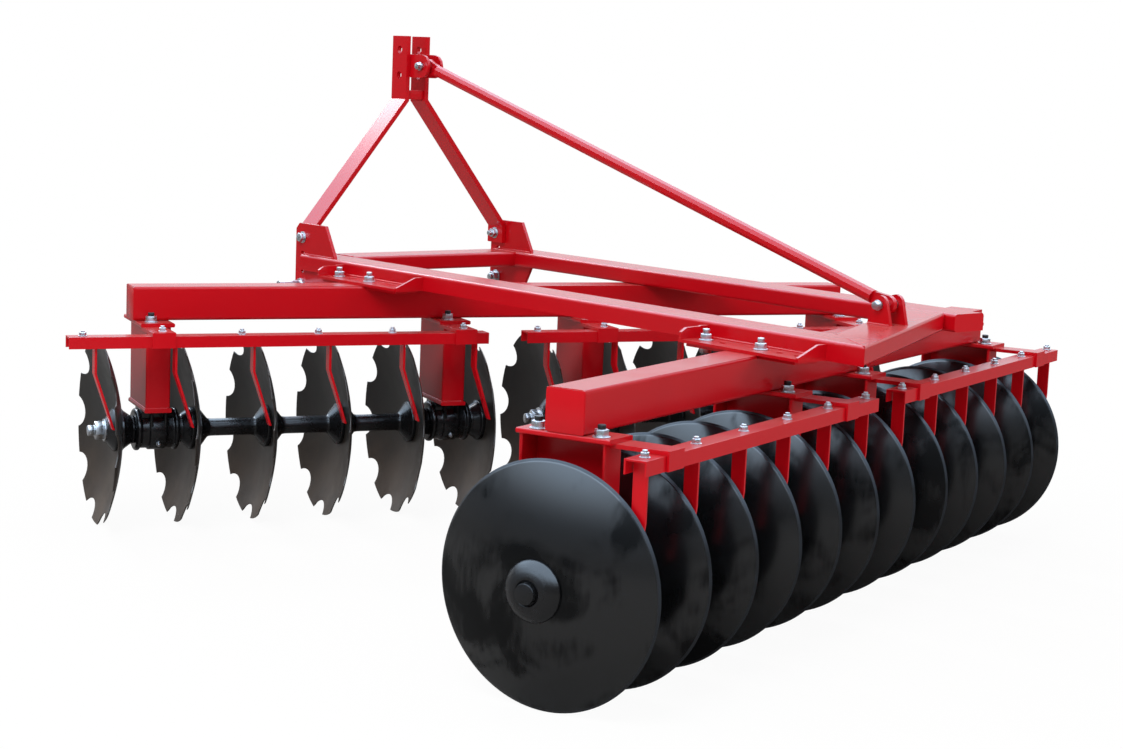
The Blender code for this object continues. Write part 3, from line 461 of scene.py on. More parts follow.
def add_relief(tree, shader, scale, strength, distance, fine=0.3):
    grain = use_group(tree, "surface_grain", Scale=scale, Fine_Share=fine)
    bump = add_node(tree, "ShaderNodeBump", strength=strength, distance=distance)
    tree.links.new(grain.outputs["Height"], bump.inputs["Height"])
    tree.links.new(bump.outputs["Normal"], shader.inputs["Normal"])


def mix_color(tree, mask, under, over):
    """A colour, or a socket that gives one, with another colour laid over it by a mask."""
    blend = add_node(tree, "ShaderNodeMix", data_type="RGBA")
    colors = [socket for socket in blend.inputs if socket.type == "RGBA"]
    if isinstance(under, bpy.types.NodeSocket):
        tree.links.new(under, colors[0])
    else:
        colors[0].default_value = (*under, 1.0)
    colors[1].default_value = (*over, 1.0)
    tree.links.new(mask, blend.inputs["Factor"])
    return next(socket for socket in blend.outputs if socket.type == "RGBA")


def red_paint(finishes):
    red = finishes.red
    material, tree, shader = new_finish("harrow_red_paint", red, roughness=0.28)
    shader.inputs["Specular IOR Level"].default_value = 0.27
    shade = use_group(tree, "cloudy_patches", Scale=2.2, Hardness=0.5, Low=0.0, High=0.2)
    deep = mix_color(tree, shade.outputs["Value"], red, shaded(red, 0.72, 0.6, 0.6))
    dust = use_group(tree, "settled_dust", Amount=0.20, Scale=4.0)
    dusty = mix_color(tree, dust.outputs["Mask"], deep, DUST)
    tree.links.new(dusty, shader.inputs["Base Color"])
    vary(tree, shader, "Roughness", Scale=3.0, Hardness=0.5, Low=0.21, High=0.235)
    add_relief(tree, shader, scale=16.0, strength=0.006, distance=0.0010, fine=0.05)
    return material


def black_disc(finishes):
    black = finishes.disc_black
    material, tree, shader = new_finish(
        "rear_disc_black", black, roughness=0.4, coat=0.9, coat_roughness=0.19
    )
    shader.inputs["Specular IOR Level"].default_value = 0.06
    shader.inputs["Coat IOR"].default_value = 1.62
    patches = use_group(tree, "brushed_smudges", Scale=4.2, Hardness=0.05, Low=0.0, High=1.0)
    color = mix_color(tree, patches.outputs["Value"], black, shaded(black, 1.7))
    tree.links.new(color, shader.inputs["Base Color"])
    vary(
        tree, shader, "Coat Weight", "brushed_smudges", Scale=4.2, Hardness=0.08, Low=0.22, High=1.0
    )
    add_relief(tree, shader, scale=38.0, strength=0.08, distance=0.0015)
    return material


def steel_disc(finishes):
    steel = finishes.disc_steel
    material, tree, shader = new_finish("front_disc_steel", steel, metallic=0.2, roughness=0.34)
    shader.inputs["Specular IOR Level"].default_value = 0.2
    # Painted highlight: the front discs turn lighter and warmer towards the floor and darker higher
    # up, standing in for light on their lower bowls
    low = use_group(tree, "low_down", From=0.02, To=0.34)
    steel_with_painted_highlight = mix_color(tree, low.outputs["Value"], HIGH_STEEL_ABOVE_HIGHLIGHT, shaded(steel, 1.7, 1.35, 1.1))
    patches = use_group(tree, "cloudy_patches", Scale=5.0, Hardness=0.35, Low=0.0, High=0.5)
    color = mix_color(tree, patches.outputs["Value"], steel_with_painted_highlight, DARK_STEEL)
    tree.links.new(color, shader.inputs["Base Color"])
    vary(tree, shader, "Roughness", Scale=6.0, Hardness=0.3, Low=0.28, High=0.40)
    add_relief(tree, shader, scale=45.0, strength=0.10, distance=0.0015)
    return material


def ground_edge(name, color):
    material, tree, shader = new_finish(name, color, metallic=0.6, roughness=0.34)
    vary(tree, shader, "Roughness", Scale=14.0, Hardness=0.3, Low=0.28, High=0.5)
    add_relief(tree, shader, scale=140.0, strength=0.10, distance=0.0006)
    return material


def black_casting(finishes):
    material, tree, shader = new_finish(
        "gloss_black_casting", finishes.casting, roughness=0.22, coat=0.2
    )
    shader.inputs["Specular IOR Level"].default_value = 0.36
    vary(tree, shader, "Roughness", Scale=16.0, Hardness=0.35, Low=0.16, High=0.34)
    add_relief(tree, shader, scale=90.0, strength=0.28, distance=0.0014, fine=0.5)
    return material


def zinc_plating(finishes):
    zinc = finishes.zinc
    material, tree, shader = new_finish("zinc_plating", zinc, metallic=1.0, roughness=0.32)
    tint = use_group(tree, "cloudy_patches", Scale=40.0, Hardness=0.4, Low=0.0, High=0.5)
    color = mix_color(tree, tint.outputs["Value"], zinc, shaded(zinc, 0.72, 0.70, 0.66))
    tree.links.new(color, shader.inputs["Base Color"])
    vary(tree, shader, "Roughness", Scale=60.0, Hardness=0.4, Low=0.24, High=0.44)
    add_relief(tree, shader, scale=320.0, strength=0.10, distance=0.0004)
    return material


def dark_thread():
    material, tree, shader = new_finish("dark_thread", THREAD, metallic=0.7, roughness=0.42)
    vary(tree, shader, "Roughness", Scale=60.0, Hardness=0.4, Low=0.34, High=0.55)
    add_relief(tree, shader, scale=400.0, strength=0.2, distance=0.0004)
    return material


def finish(name):
    """A material of the harrow, made on first use."""
    finishes = bpy.context.scene.harrow_finishes
    makers = {
        "harrow_red_paint": lambda: red_paint(finishes),
        "rear_disc_black": lambda: black_disc(finishes),
        "front_disc_steel": lambda: steel_disc(finishes),
        "rear_ground_edge": lambda: ground_edge(name, shaded(finishes.disc_black, 20)),
        "front_ground_edge": lambda: ground_edge(name, shaded(finishes.disc_steel, 1.3)),
        "gloss_black_casting": lambda: black_casting(finishes),
        "zinc_plating": lambda: zinc_plating(finishes),
        "dark_thread": dark_thread,
    }
    return bpy.data.materials.get(name) or makers[name]()


def pale_floor():
    """A matt floor that the camera sees as white, with a faint shadow under the machine."""
    material, tree, shader = new_finish("pale_floor", FLOOR, roughness=0.9)
    shader.inputs["Specular IOR Level"].default_value = 0.0
    place = tree.nodes.new("ShaderNodeTexCoord")
    away = add_node(tree, "ShaderNodeVectorMath", operation="LENGTH")
    white_share = add_node(
        tree,
        "ShaderNodeMapRange",
        interpolation_type="SMOOTHSTEP",
        from_min=1.2,
        from_max=3.0,
        to_min=0.94,
        to_max=1.0,
    )
    path = tree.nodes.new("ShaderNodeLightPath")
    color = mix_color(tree, path.outputs["Is Glossy Ray"], FLOOR, FLOOR_MIRRORED)
    shown = add_node(tree, "ShaderNodeMath", operation="MULTIPLY")
    white = tree.nodes.new("ShaderNodeEmission")
    both = tree.nodes.new("ShaderNodeMixShader")
    link = tree.links.new
    link(color, shader.inputs["Base Color"])
    link(place.outputs["Object"], away.inputs[0])
    link(away.outputs["Value"], white_share.inputs["Value"])
    link(white_share.outputs["Result"], shown.inputs[0])
    link(path.outputs["Is Camera Ray"], shown.inputs[1])
    link(shown.outputs[0], both.inputs["Fac"])
    link(shader.outputs[0], both.inputs[1])
    link(white.outputs[0], both.inputs[2])
    link(both.outputs[0], tree.nodes["Material Output"].inputs["Surface"])
    return material


# Mesh helpers

# How finely round things are drawn
ROUND_STEPS = 56
PROFILE_STEPS = 4
CORNER_STEPS = 4
EASE_STEPS = 2
WASHER_SIDES = 32
STUD_SIDES = 20
HEAD_SIDES = 40
NUT_SIDES = 6
BEAD_SIDES = 8
# The most of a line that a rounded corner takes, and the bend that still counts as straight
LINE_SHARE = 0.45
STRAIGHT = 0.02
# A washer's, a nut's and a stud's measures as shares of the thread's size
WASHER_SHARE = 0.15
WASHER_RADIUS_SHARE = 1.05
WASHER_EASE_SHARE = 0.03
NUT_SHARE = 0.8
ACROSS_FLATS_SHARE = 1.5
NUT_EASE_SHARE = 0.07
STUD_EASE_SHARE = 0.08
# A weld bead's measures as shares of its radius: from ring to ring, its body, its even ripple,
# its uneven one and its ends; then how fast the two ripples change
BEAD_STEP_SHARE = 0.9
BEAD_BODY_SHARE = 0.88
RIPPLE_SHARE = 0.16
WOBBLE_SHARE = 0.14
BEAD_END_SHARE = 0.45
RIPPLE_TURN = 2.1
WOBBLE_SCALE = 90


def even_normals(body, sharp):
    """Corner normals led by the larger faces, so that faces between round corners stay flat."""
    limit = math.cos(sharp)
    areas = {face: face.calc_area() for face in body.faces}
    normals = []
    for face in body.faces:
        for loop in face.loops:
            total = Vector()
            for other in loop.vert.link_faces:
                if other.normal.dot(face.normal) > limit:
                    total += other.normal * areas[other]
            normals.append(total.normalized() if total.length > 0 else face.normal.copy())
    return normals


def add_piece(name, body, finishes, rides, nodes=(), sharp=SMOOTH_ANGLE, even=False):
    """Turn a bmesh into a piece that rides on a body and may stand for CAD nodes."""
    mesh = bpy.data.meshes.new(name)
    if even:
        bmesh.ops.triangulate(body, faces=[face for face in body.faces if len(face.verts) > 4])
        body.normal_update()
    normals = even_normals(body, sharp) if even else None
    body.to_mesh(mesh)
    body.free()
    for label in finishes:
        mesh.materials.append(finish(label))
    mesh.shade_smooth()
    mesh.set_sharp_from_angle(angle=sharp)
    if even:
        mesh.normals_split_custom_set(normals)
    item = bpy.data.objects.new(name, mesh)
    bpy.context.scene.collection.objects.link(item)
    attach(item, rides)
    if nodes:
        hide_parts(*nodes)
    return item


def join_rings(body, rings, closed=False):
    """Quads between rings of equal counts; closed also joins the last ring to the first."""
    pairs = list(zip(rings, rings[1:]))
    if closed:
        pairs.append((rings[-1], rings[0]))
    for first, second in pairs:
        count = len(first)
        for number in range(count):
            after = (number + 1) % count
            body.faces.new((first[number], first[after], second[after], second[number]))


def turned(profile):
    """A bmesh of (place, radius) points turned round X, with its ends closed."""
    body = bmesh.new()
    angles = [math.tau * step / ROUND_STEPS for step in range(ROUND_STEPS)]
    rings = [
        [body.verts.new((place, radius * math.cos(a), radius * math.sin(a))) for a in angles]
        for place, radius in profile
    ]
    join_rings(body, rings)
    for ring in (rings[0], rings[-1]):
        body.faces.new(ring)
    bmesh.ops.recalc_face_normals(body, faces=body.faces)
    return body


def rounded(profile, radius):
    """A (place, radius) profile with its inner corners rounded."""
    points = [Vector(point) for point in profile]
    result = [points[0]]
    for before, corner, after in zip(points, points[1:], points[2:]):
        back, on = before - corner, after - corner
        reach = min(radius, back.length * LINE_SHARE, on.length * LINE_SHARE)
        if reach < TINY or abs(back.normalized().cross(on.normalized())) < STRAIGHT:
            result.append(corner)
            continue
        start, end = corner + back.normalized() * reach, corner + on.normalized() * reach
        for step in range(PROFILE_STEPS + 1):
            share = step / PROFILE_STEPS
            result.append(start.lerp(corner, share).lerp(corner.lerp(end, share), share))
    result.append(points[-1])
    return [tuple(point) for point in result]


def append(body, other, matrix=None, keep=False):
    """Add another bmesh to a bmesh, moved by a matrix."""
    mesh = bpy.data.meshes.new("append")
    other.to_mesh(mesh)
    if not keep:
        other.free()
    if matrix is not None:
        mesh.transform(matrix)
    body.from_mesh(mesh)
    bpy.data.meshes.remove(mesh)


def ease_all(body, ease):
    bmesh.ops.bevel(
        body, geom=body.edges[:], offset=ease, segments=EASE_STEPS, profile=0.5, affect="EDGES"
    )


def block(low, high, ease=0.0):
    body = bmesh.new()
    bmesh.ops.create_cube(body, size=1.0)
    low, high = Vector(low), Vector(high)
    matrix = Matrix.Translation((low + high) / 2) @ Matrix.Diagonal((*(high - low), 1))
    bmesh.ops.transform(body, matrix=matrix, verts=body.verts)
    if ease:
        ease_all(body, ease)
    return body


def prism(radius, length, sides, ease, turn=0.0):
    """A regular prism standing on the floor of its own frame, with eased edges."""
    body = bmesh.new()
    bmesh.ops.create_cone(
        body, cap_ends=True, segments=sides, radius1=radius, radius2=radius, depth=length
    )
    matrix = Matrix.Translation((0, 0, length / 2)) @ Matrix.Rotation(turn, 4, "Z")
    bmesh.ops.transform(body, matrix=matrix, verts=body.verts)
    ease_all(body, ease)
    return body


def stand(place, way):
    """A frame whose Z runs a given way from a place."""
    turn = Vector(way).to_track_quat("Z", "Y").to_matrix().to_4x4()
    return Matrix.Translation(place) @ turn


def bolt(size, stud, washer=True, turn=0.0, dark=False):
    """Washer, nut and stud end for a thread size, standing on the floor of its own frame."""
    body = bmesh.new()
    base = size * WASHER_SHARE if washer else 0.0
    if washer:
        ease = size * WASHER_EASE_SHARE
        append(body, prism(size * WASHER_RADIUS_SHARE, base, WASHER_SIDES, ease))
    height = size * NUT_SHARE
    corner = size * ACROSS_FLATS_SHARE / 2 / math.cos(math.pi / NUT_SIDES)
    nut = prism(corner, height, NUT_SIDES, size * NUT_EASE_SHARE, turn)
    append(body, nut, Matrix.Translation((0, 0, base)))
    if stud:
        tip = prism(size / 2, stud, STUD_SIDES, size * STUD_EASE_SHARE)
        for face in tip.faces:
            face.material_index = int(dark)
        append(body, tip, Matrix.Translation((0, 0, base + height - TINY)))
    return body


def bead(body, points, radius, seed=0.0):
    """A weld bead along a line of points, with the ripples of a hand weld."""
    angles = [math.tau * step / BEAD_SIDES for step in range(BEAD_SIDES)]
    for start, end in zip(points, points[1:]):
        start, end = Vector(start), Vector(end)
        length = (end - start).length
        count = max(4, int(length / (radius * BEAD_STEP_SHARE)))
        way = (end - start).normalized()
        side = way.orthogonal().normalized()
        other = way.cross(side)
        rings = []
        for number in range(count + 1):
            place = start.lerp(end, number / count)
            ripple = RIPPLE_SHARE * math.sin(number * RIPPLE_TURN + seed)
            wobble = WOBBLE_SHARE * noise.noise(place * WOBBLE_SCALE + Vector((seed, 0, 0)))
            size = radius * (BEAD_BODY_SHARE + ripple + wobble)
            if number in (0, count):
                size *= BEAD_END_SHARE
            rings.append(
                [
                    body.verts.new(place + (side * math.cos(a) + other * math.sin(a)) * size)
                    for a in angles
                ]
            )
        join_rings(body, rings)
        body.faces.new(rings[0])
        body.faces.new(rings[-1])


def flat_faced(node):
    """A CAD node's faces in world coordinates, with the flat ones joined."""
    source = frame["nodes"][node]
    body = bmesh.new()
    body.from_mesh(source.data)
    body.transform(source.matrix_world)
    bmesh.ops.remove_doubles(body, verts=body.verts, dist=TINY)
    bmesh.ops.dissolve_limit(
        body, angle_limit=FLAT_ANGLE, verts=body.verts[:], edges=body.edges[:]
    )
    return body


def bevel_long_edges(body, width, shortest, segments, ahead, clamp):
    """Bevel convex edges over a length, but none of a face that looks ahead past a limit."""
    edges = [
        edge
        for edge in body.edges
        if edge.is_manifold
        and edge.is_convex
        and edge.calc_face_angle() > CORNER_ANGLE
        and edge.calc_length() > shortest
        and max(face.normal.y for face in edge.link_faces) < ahead
    ]
    bmesh.ops.bevel(
        body,
        geom=edges,
        offset=width,
        segments=segments,
        profile=0.5,
        affect="EDGES",
        clamp_overlap=clamp,
    )


# Discs

# How far each front disc of a gang is turned, so that the bites don't line up
DISC_TURNS = (1, 8, 14, 16, 13, -3)
# Radius of a disc's hole, a ring on its flat centre as a share of that, rings over the bowl, how
# far the last is from the rim in widths of the ground edge, and the lip at the rim
DISC_EYE = 0.021
FLAT_SHARE = 0.8
BOWL_RINGS = 9
EDGE_MARGIN_SHARE = 1.6
LIP = 0.0006
# Shares of half the wall at the lip and at the two corners of the ground edge
LIP_SHARE = 0.9
EDGE_SHARES = (0.55, 0.1)
# Points round a plain rim, and spaces between points round half a bite
RIM_POINTS = 120
BITE_STEPS = 5


def disc_rim(sizes, notched):
    """Radius and angle round the rim."""
    if not notched:
        angles = [math.tau * step / RIM_POINTS for step in range(RIM_POINTS)]
        return [(DISC_RADIUS, -math.pi / 2 + angle) for angle in angles]
    centre = DISC_RADIUS - sizes.notch_depth + sizes.notch_radius
    reach = (DISC_RADIUS**2 + centre**2 - sizes.notch_radius**2) / (2 * DISC_RADIUS * centre)
    half_bite = math.acos(reach)
    half_arc = math.asin(DISC_RADIUS * math.sin(half_bite) / sizes.notch_radius)
    period = math.tau / sizes.notches
    land = period / 2 - half_bite
    rim = []
    for number in range(sizes.notches):
        start = -math.pi / 2 + number * period
        rim += [(DISC_RADIUS, start + land * share) for share in (-0.5, 0.0, 0.5)]
        for step in range(2 * BITE_STEPS + 1):
            turn = math.pi + half_arc * (1 - step / BITE_STEPS)
            x = centre + sizes.notch_radius * math.cos(turn)
            y = sizes.notch_radius * math.sin(turn)
            rim.append((math.hypot(x, y), start + period / 2 + math.atan2(y, x)))
    return rim


def disc_body(sizes, notched):
    """A dished disc in the gang's frame: hollow towards +X, ground edge on its back."""
    rim = disc_rim(sizes, notched)
    inner = DISC_RADIUS - sizes.bevel * EDGE_MARGIN_SHARE
    if notched:
        inner -= sizes.notch_depth
    spread = DISC_RADIUS**2 - sizes.flat**2

    def ring(body, reach, side, thick):
        """Reach maps a rim point's radius to the ring's; side is +1 on the hollow face."""
        verts = []
        for limit, angle in rim:
            radius = reach(limit)
            dished = radius > sizes.flat
            depth = sizes.dish * (radius**2 - sizes.flat**2) / spread if dished else 0.0
            slope = 2 * sizes.dish * radius / spread if dished else 0.0
            lean = math.hypot(1, slope)
            out = radius - side * thick * slope / lean
            place = depth + side * thick / lean
            verts.append(body.verts.new((place, out * math.cos(angle), out * math.sin(angle))))
        return verts

    half = sizes.wall / 2
    radii = [DISC_EYE, sizes.flat * FLAT_SHARE, sizes.flat]
    radii += [
        sizes.flat + (inner - sizes.flat) * (step / BOWL_RINGS)
        for step in range(1, BOWL_RINGS + 1)
    ]
    body = bmesh.new()
    loops = [ring(body, lambda limit, radius=radius: radius, 1, half) for radius in radii]
    loops.append(ring(body, lambda limit: limit - sizes.bevel, 1, half))
    loops.append(ring(body, lambda limit: limit - LIP, 1, half * LIP_SHARE))
    edge_start = len(loops)
    loops += [ring(body, lambda limit: limit, 1, half * share) for share in EDGE_SHARES]
    loops.append(ring(body, lambda limit: limit - sizes.bevel, -1, half))
    loops += [
        ring(body, lambda limit, radius=radius: radius, -1, half) for radius in reversed(radii)
    ]
    join_rings(body, loops, closed=True)
    for number, face in enumerate(body.faces):
        band = number // len(rim)
        face.material_index = int(edge_start - 1 <= band <= edge_start + 1)
    bmesh.ops.recalc_face_normals(body, faces=body.faces)
    return body


class HARROW_OT_discs(bpy.types.Operator):
    """Build the notched front discs and the plain rear discs"""

    bl_idname = "harrow.discs"
    bl_label = "Discs"

    def execute(self, context):
        sizes = context.scene.harrow_discs
        for row, title in gangs():
            notched = row == "front"
            shape = disc_body(sizes, notched)
            finishes = ("rear_disc_black", "rear_ground_edge")
            if notched:
                finishes = ("front_disc_steel", "front_ground_edge")
            for number, place in enumerate(hub_places(sizes.pitch), start=1):
                body = bmesh.new()
                angle = math.radians(DISC_TURNS[number - 1]) if notched else 0.0
                turn = Matrix.Rotation(angle, 4, "X")
                here = gang_frame(title) @ Matrix.Translation((place, 0, 0)) @ turn
                append(body, shape, here, keep=True)
                node = f"{title}_disc_{number}"
                add_piece(
                    f"{node}_blade", body, finishes, f"{title}_gang", (node,), DISC_SMOOTH_ANGLE
                )
            shape.free()
        return {"FINISHED"}


# Spools

# Place along the gang from the first disc's back, and radius: the domed end washer
BELL = (
    (0.0, 0.010),
    (0.0, 0.070),
    (-0.004, 0.070),
    (-0.008, 0.0682),
    (-0.014, 0.0632),
    (-0.020, 0.0555),
    (-0.0255, 0.0455),
    (-0.0290, 0.0350),
    (-0.0295, 0.0290),
    (-0.0255, 0.0265),
    (-0.0255, 0.010),
)
# Place along the gang from the last disc's face, and radius: the cone under the end nut
CONE = (
    (0.0, 0.010),
    (0.0, 0.064),
    (0.008, 0.064),
    (0.014, 0.056),
    (0.028, 0.037),
    (0.0305, 0.036),
    (0.0305, 0.010),
)
# Half a plain spool and the whole of one beside a bearing: bore, straight cup, its slope, neck
SPOOL_BORE = 0.020
CUP_WIDTH = 0.012
CUP_SLOPE = 0.016
SPOOL_CUP_SHARE = 0.90
STUB_CUP_SHARE = 0.91
NECK_SHARE = 1.06
NECK_SLOPE = 0.012
STUB_NECK = 0.042
STUB_END = 0.008
SPOOL_EASE = 0.005
STUB_EASE = 0.004
# The sleeve in a housing, its gap, the square bar, the bolt's round head and the end nut
SLEEVE = 0.0295
SLEEVE_GAP = 0.0006
BAR_HALF = 0.0188
BAR_OVER = 0.02
HEAD_RADIUS = 0.0238
HEAD_HEIGHT = 0.0145
HEAD_EASE = 0.0022
HEAD_SEAT = 0.0255
NUT_SEAT = 0.0305
END_THREAD = 0.032
END_STUD = 0.021
END_NUT_TURN = 0.2


def spool(left, right, sizes):
    """A plain spool between two discs."""
    half = (
        (0.0, SPOOL_BORE),
        (0.0, sizes.cup),
        (CUP_WIDTH, sizes.cup),
        (CUP_SLOPE, sizes.cup * SPOOL_CUP_SHARE),
        (sizes.flare, sizes.spool * NECK_SHARE),
        (sizes.flare + NECK_SLOPE, sizes.spool),
    )
    profile = [(left + out, radius) for out, radius in half]
    profile += [(right - out, radius) for out, radius in reversed(half)]
    return turned(rounded(profile, SPOOL_EASE))


def stub(disc, housing, sizes):
    """A short spool from a disc to a bearing housing's end."""
    way = 1 if housing > disc else -1
    profile = [
        (disc, SPOOL_BORE),
        (disc, sizes.cup),
        (disc + way * CUP_WIDTH, sizes.cup),
        (disc + way * CUP_SLOPE, sizes.cup * STUB_CUP_SHARE),
        (housing - way * STUB_END, STUB_NECK),
        (housing, STUB_NECK),
        (housing, SPOOL_BORE),
    ]
    return turned(rounded(profile, STUB_EASE))


class HARROW_OT_spools(bpy.types.Operator):
    """Build the spools, end bells, bolt heads, square bars and end nuts of the gangs"""

    bl_idname = "harrow.spools"
    bl_label = "Spools"

    def execute(self, context):
        sizes, discs = context.scene.harrow_castings, context.scene.harrow_discs
        hubs = hub_places(discs.pitch)
        face = discs.wall / 2
        near = sizes.housing / 2 + SLEEVE_GAP
        first, last = hubs[0] - face, hubs[-1] + face
        for _, title in gangs():
            place = gang_frame(title)
            body = bmesh.new()
            for number in range(DISC_COUNT - 1):
                left, right = hubs[number] + face, hubs[number + 1] - face
                if number not in (0, DISC_COUNT - 2):
                    append(body, spool(left, right, sizes), place)
                    continue
                middle = (left + right) / 2
                append(body, stub(left, middle - near, sizes), place)
                append(body, stub(right, middle + near, sizes), place)
                sleeve = turned([(middle - near, SLEEVE), (middle + near, SLEEVE)])
                append(body, sleeve, place)
            bell = [(first + out, radius) for out, radius in BELL]
            append(body, turned(rounded(bell, STUB_EASE)), place)
            head = prism(HEAD_RADIUS, HEAD_HEIGHT, HEAD_SIDES, HEAD_EASE)
            append(body, head, place @ stand((first - HEAD_SEAT, 0, 0), (-1, 0, 0)))
            cone = [(last + out, radius) for out, radius in CONE]
            append(body, turned(rounded(cone, SPOOL_EASE)), place)
            low = (first - BAR_OVER, -BAR_HALF, -BAR_HALF)
            high = (last + BAR_OVER, BAR_HALF, BAR_HALF)
            append(body, block(low, high), place)
            rides = f"{title}_gang"
            paint = ("gloss_black_casting",)
            add_piece(f"{title}_spools", body, paint, rides, (f"{title}_arbor",))
            nut = bmesh.new()
            spot = place @ stand((last + NUT_SEAT, 0, 0), (1, 0, 0))
            append(nut, bolt(END_THREAD, END_STUD, turn=END_NUT_TURN), spot)
            add_piece(f"{title}_end_nut", nut, ("zinc_plating", "dark_thread"), rides)
        return {"FINISHED"}


# Bearings

# Place inwards from a housing's end, and radius over the barrel's
HOUSING_STEPS = (
    (0.0, -0.004),
    (0.004, 0.0018),
    (0.013, 0.0018),
    (0.017, -0.005),
    (0.038, -0.005),
    (0.042, 0.0),
)
HOUSING_BORE = 0.032
HOUSING_EASE = 0.003
# The seat under the post's foot: inset from the ends, half its width, bottom and top
SEAT_INSET = 0.015
SEAT_HALF = 0.044
SEAT_BOTTOM = 0.040
SEAT_TOP = 0.0638
# The ribs beside it: places, half their size, top and easing
RIB_ALONG = 0.021
RIB_ACROSS = 0.052
RIB_HALF = (0.005, 0.007)
RIB_TOP = 0.055
RIB_EASE = 0.002
# The grease nipples: thread, length, place under the seat and the way that they look
NIPPLE_THREAD = 0.009
NIPPLE_STUD = 0.006
NIPPLE_ACROSS = 0.050
NIPPLE_HEIGHT = -0.034
NIPPLE_DROP = -0.6


def housing(sizes):
    """A bearing housing with its seat and ribs, round the gang's axis."""
    end = sizes.housing / 2
    half = [(end, HOUSING_BORE)]
    half += [(end - inwards, sizes.barrel + over) for inwards, over in HOUSING_STEPS]
    profile = [(-along, radius) for along, radius in half]
    profile += reversed(half)
    body = bmesh.new()
    append(body, turned(rounded(profile, HOUSING_EASE)))
    low = (-end + SEAT_INSET, -SEAT_HALF, SEAT_BOTTOM)
    high = (end - SEAT_INSET, SEAT_HALF, SEAT_TOP)
    append(body, block(low, high, HOUSING_EASE))
    for across in (-RIB_ACROSS, RIB_ACROSS):
        for along in (-RIB_ALONG, RIB_ALONG):
            low = (along - RIB_HALF[0], across - RIB_HALF[1], 0.0)
            high = (along + RIB_HALF[0], across + RIB_HALF[1], RIB_TOP)
            append(body, block(low, high, RIB_EASE))
    return body


class HARROW_OT_bearings(bpy.types.Operator):
    """Build the bearing housings with their seats, ribs and grease nipples"""

    bl_idname = "harrow.bearings"
    bl_label = "Bearings"

    def execute(self, context):
        sizes = context.scene.harrow_castings
        reach = bearing_reach(context.scene.harrow_discs.pitch)
        shape = housing(sizes)
        for _, title in gangs():
            nipples = bmesh.new()
            for number, along in enumerate((-reach, reach), start=1):
                place = gang_frame(title) @ Matrix.Translation((along, 0, 0))
                for side in (-1, 1):
                    where = (0, side * NIPPLE_ACROSS, NIPPLE_HEIGHT)
                    nipple = bolt(NIPPLE_THREAD, NIPPLE_STUD, washer=False)
                    append(nipples, nipple, place @ stand(where, (0, side, NIPPLE_DROP)))
                body = bmesh.new()
                append(body, shape, place, keep=True)
                node = f"{title}_bearing_{number}"
                paint = ("gloss_black_casting",)
                add_piece(f"{node}_housing", body, paint, "frame", (node,))
            add_piece(f"{title}_grease_plugs", nipples, ("zinc_plating",), "frame")
        shape.free()
        return {"FINISHED"}


# Steelwork

# For each kind of steelwork: the size that rounds its long corners, how long an edge has to be
# for that, and the size that eases the rest
STEELWORK = {
    "post": ("post_corner", 0.2, "plate_edge"),
    "scraper_bar": (None, 0.0, "blade_edge"),
    "gang_beam": ("tube_corner", 0.5, "plate_edge"),
    "side_tube": ("tube_corner", 0.5, "plate_edge"),
    "cross_tube": ("tube_corner", 0.2, "plate_edge"),
    "hitch_plate": (None, 0.0, "plate_edge"),
    "mast_bar": (None, 0.0, "plate_edge"),
    "mast_clevis": (None, 0.0, "plate_edge"),
    "brace": (None, 0.0, None),
}
EASED_OVER = 0.012
# How far ahead a face may look and still have its corners rounded: the rear cross tube's front
# carries the brace's ears, which a round corner would cut into
ANY_WAY = 2.0
REAR_TUBE_AHEAD = 0.5
# How far from the hitch's middle a plated pin comes out of the red steel
PIN_PLACES = {"hitch_plate": 0.4130, "brace": 0.0200}


class HARROW_OT_steelwork(bpy.types.Operator):
    """Round the corners of the painted steelwork"""

    bl_idname = "harrow.steelwork"
    bl_label = "Painted steelwork"

    def execute(self, context):
        steel = context.scene.harrow_steel
        paints = ("harrow_red_paint", "zinc_plating")
        for node in frame["nodes"]:
            kind = next((kind for kind in STEELWORK if kind in node), None)
            if kind is None:
                continue
            corner, shortest, edge = STEELWORK[kind]
            body = flat_faced(node)
            if corner:
                ahead = REAR_TUBE_AHEAD if node == "rear_cross_tube" else ANY_WAY
                width = getattr(steel, corner)
                bevel_long_edges(body, width, shortest, CORNER_STEPS, ahead, clamp=False)
            if edge:
                width = getattr(steel, edge)
                bevel_long_edges(body, width, EASED_OVER, EASE_STEPS, ANY_WAY, clamp=True)
            if kind in PIN_PLACES:
                for face in body.faces:
                    away = abs(face.calc_center_median().x - HITCH_CENTRE)
                    face.material_index = int(away > PIN_PLACES[kind])
            add_piece(f"{node}_painted", body, paints, "frame", (node,), even=True)
        return {"FINISHED"}


# Fasteners on the posts and scraper bars

# Along a gang: from a bearing to its cap bolts and to the middle of its shelf, and from a hub to
# its blade's bolt; flip is the side of the gang that the bar is on
FASTENERS = {
    "front": {"flip": -1, "cap_bolt": 0.033, "shelf": 0.031, "blade_bolt": 0.141},
    "rear": {"flip": 1, "cap_bolt": 0.006, "shelf": 0.043, "blade_bolt": 0.078},
}
SHELF_HALF = 0.034
# Places across the gang
CAP_BOLT_ACROSS = 0.080
SHELF_BOLT_ACROSS = -0.200
BAR_BOLT_ACROSS = -0.2125
# Threads and the studs over their nuts
CAP_THREAD = 0.019
CAP_STUD = 0.010
BLADE_THREAD = 0.012
BLADE_STUD = 0.005
# How far the nuts are turned, for each metre across and from blade to blade
CAP_NUT_TWIST = 9
BLADE_NUT_TWIST = 0.7


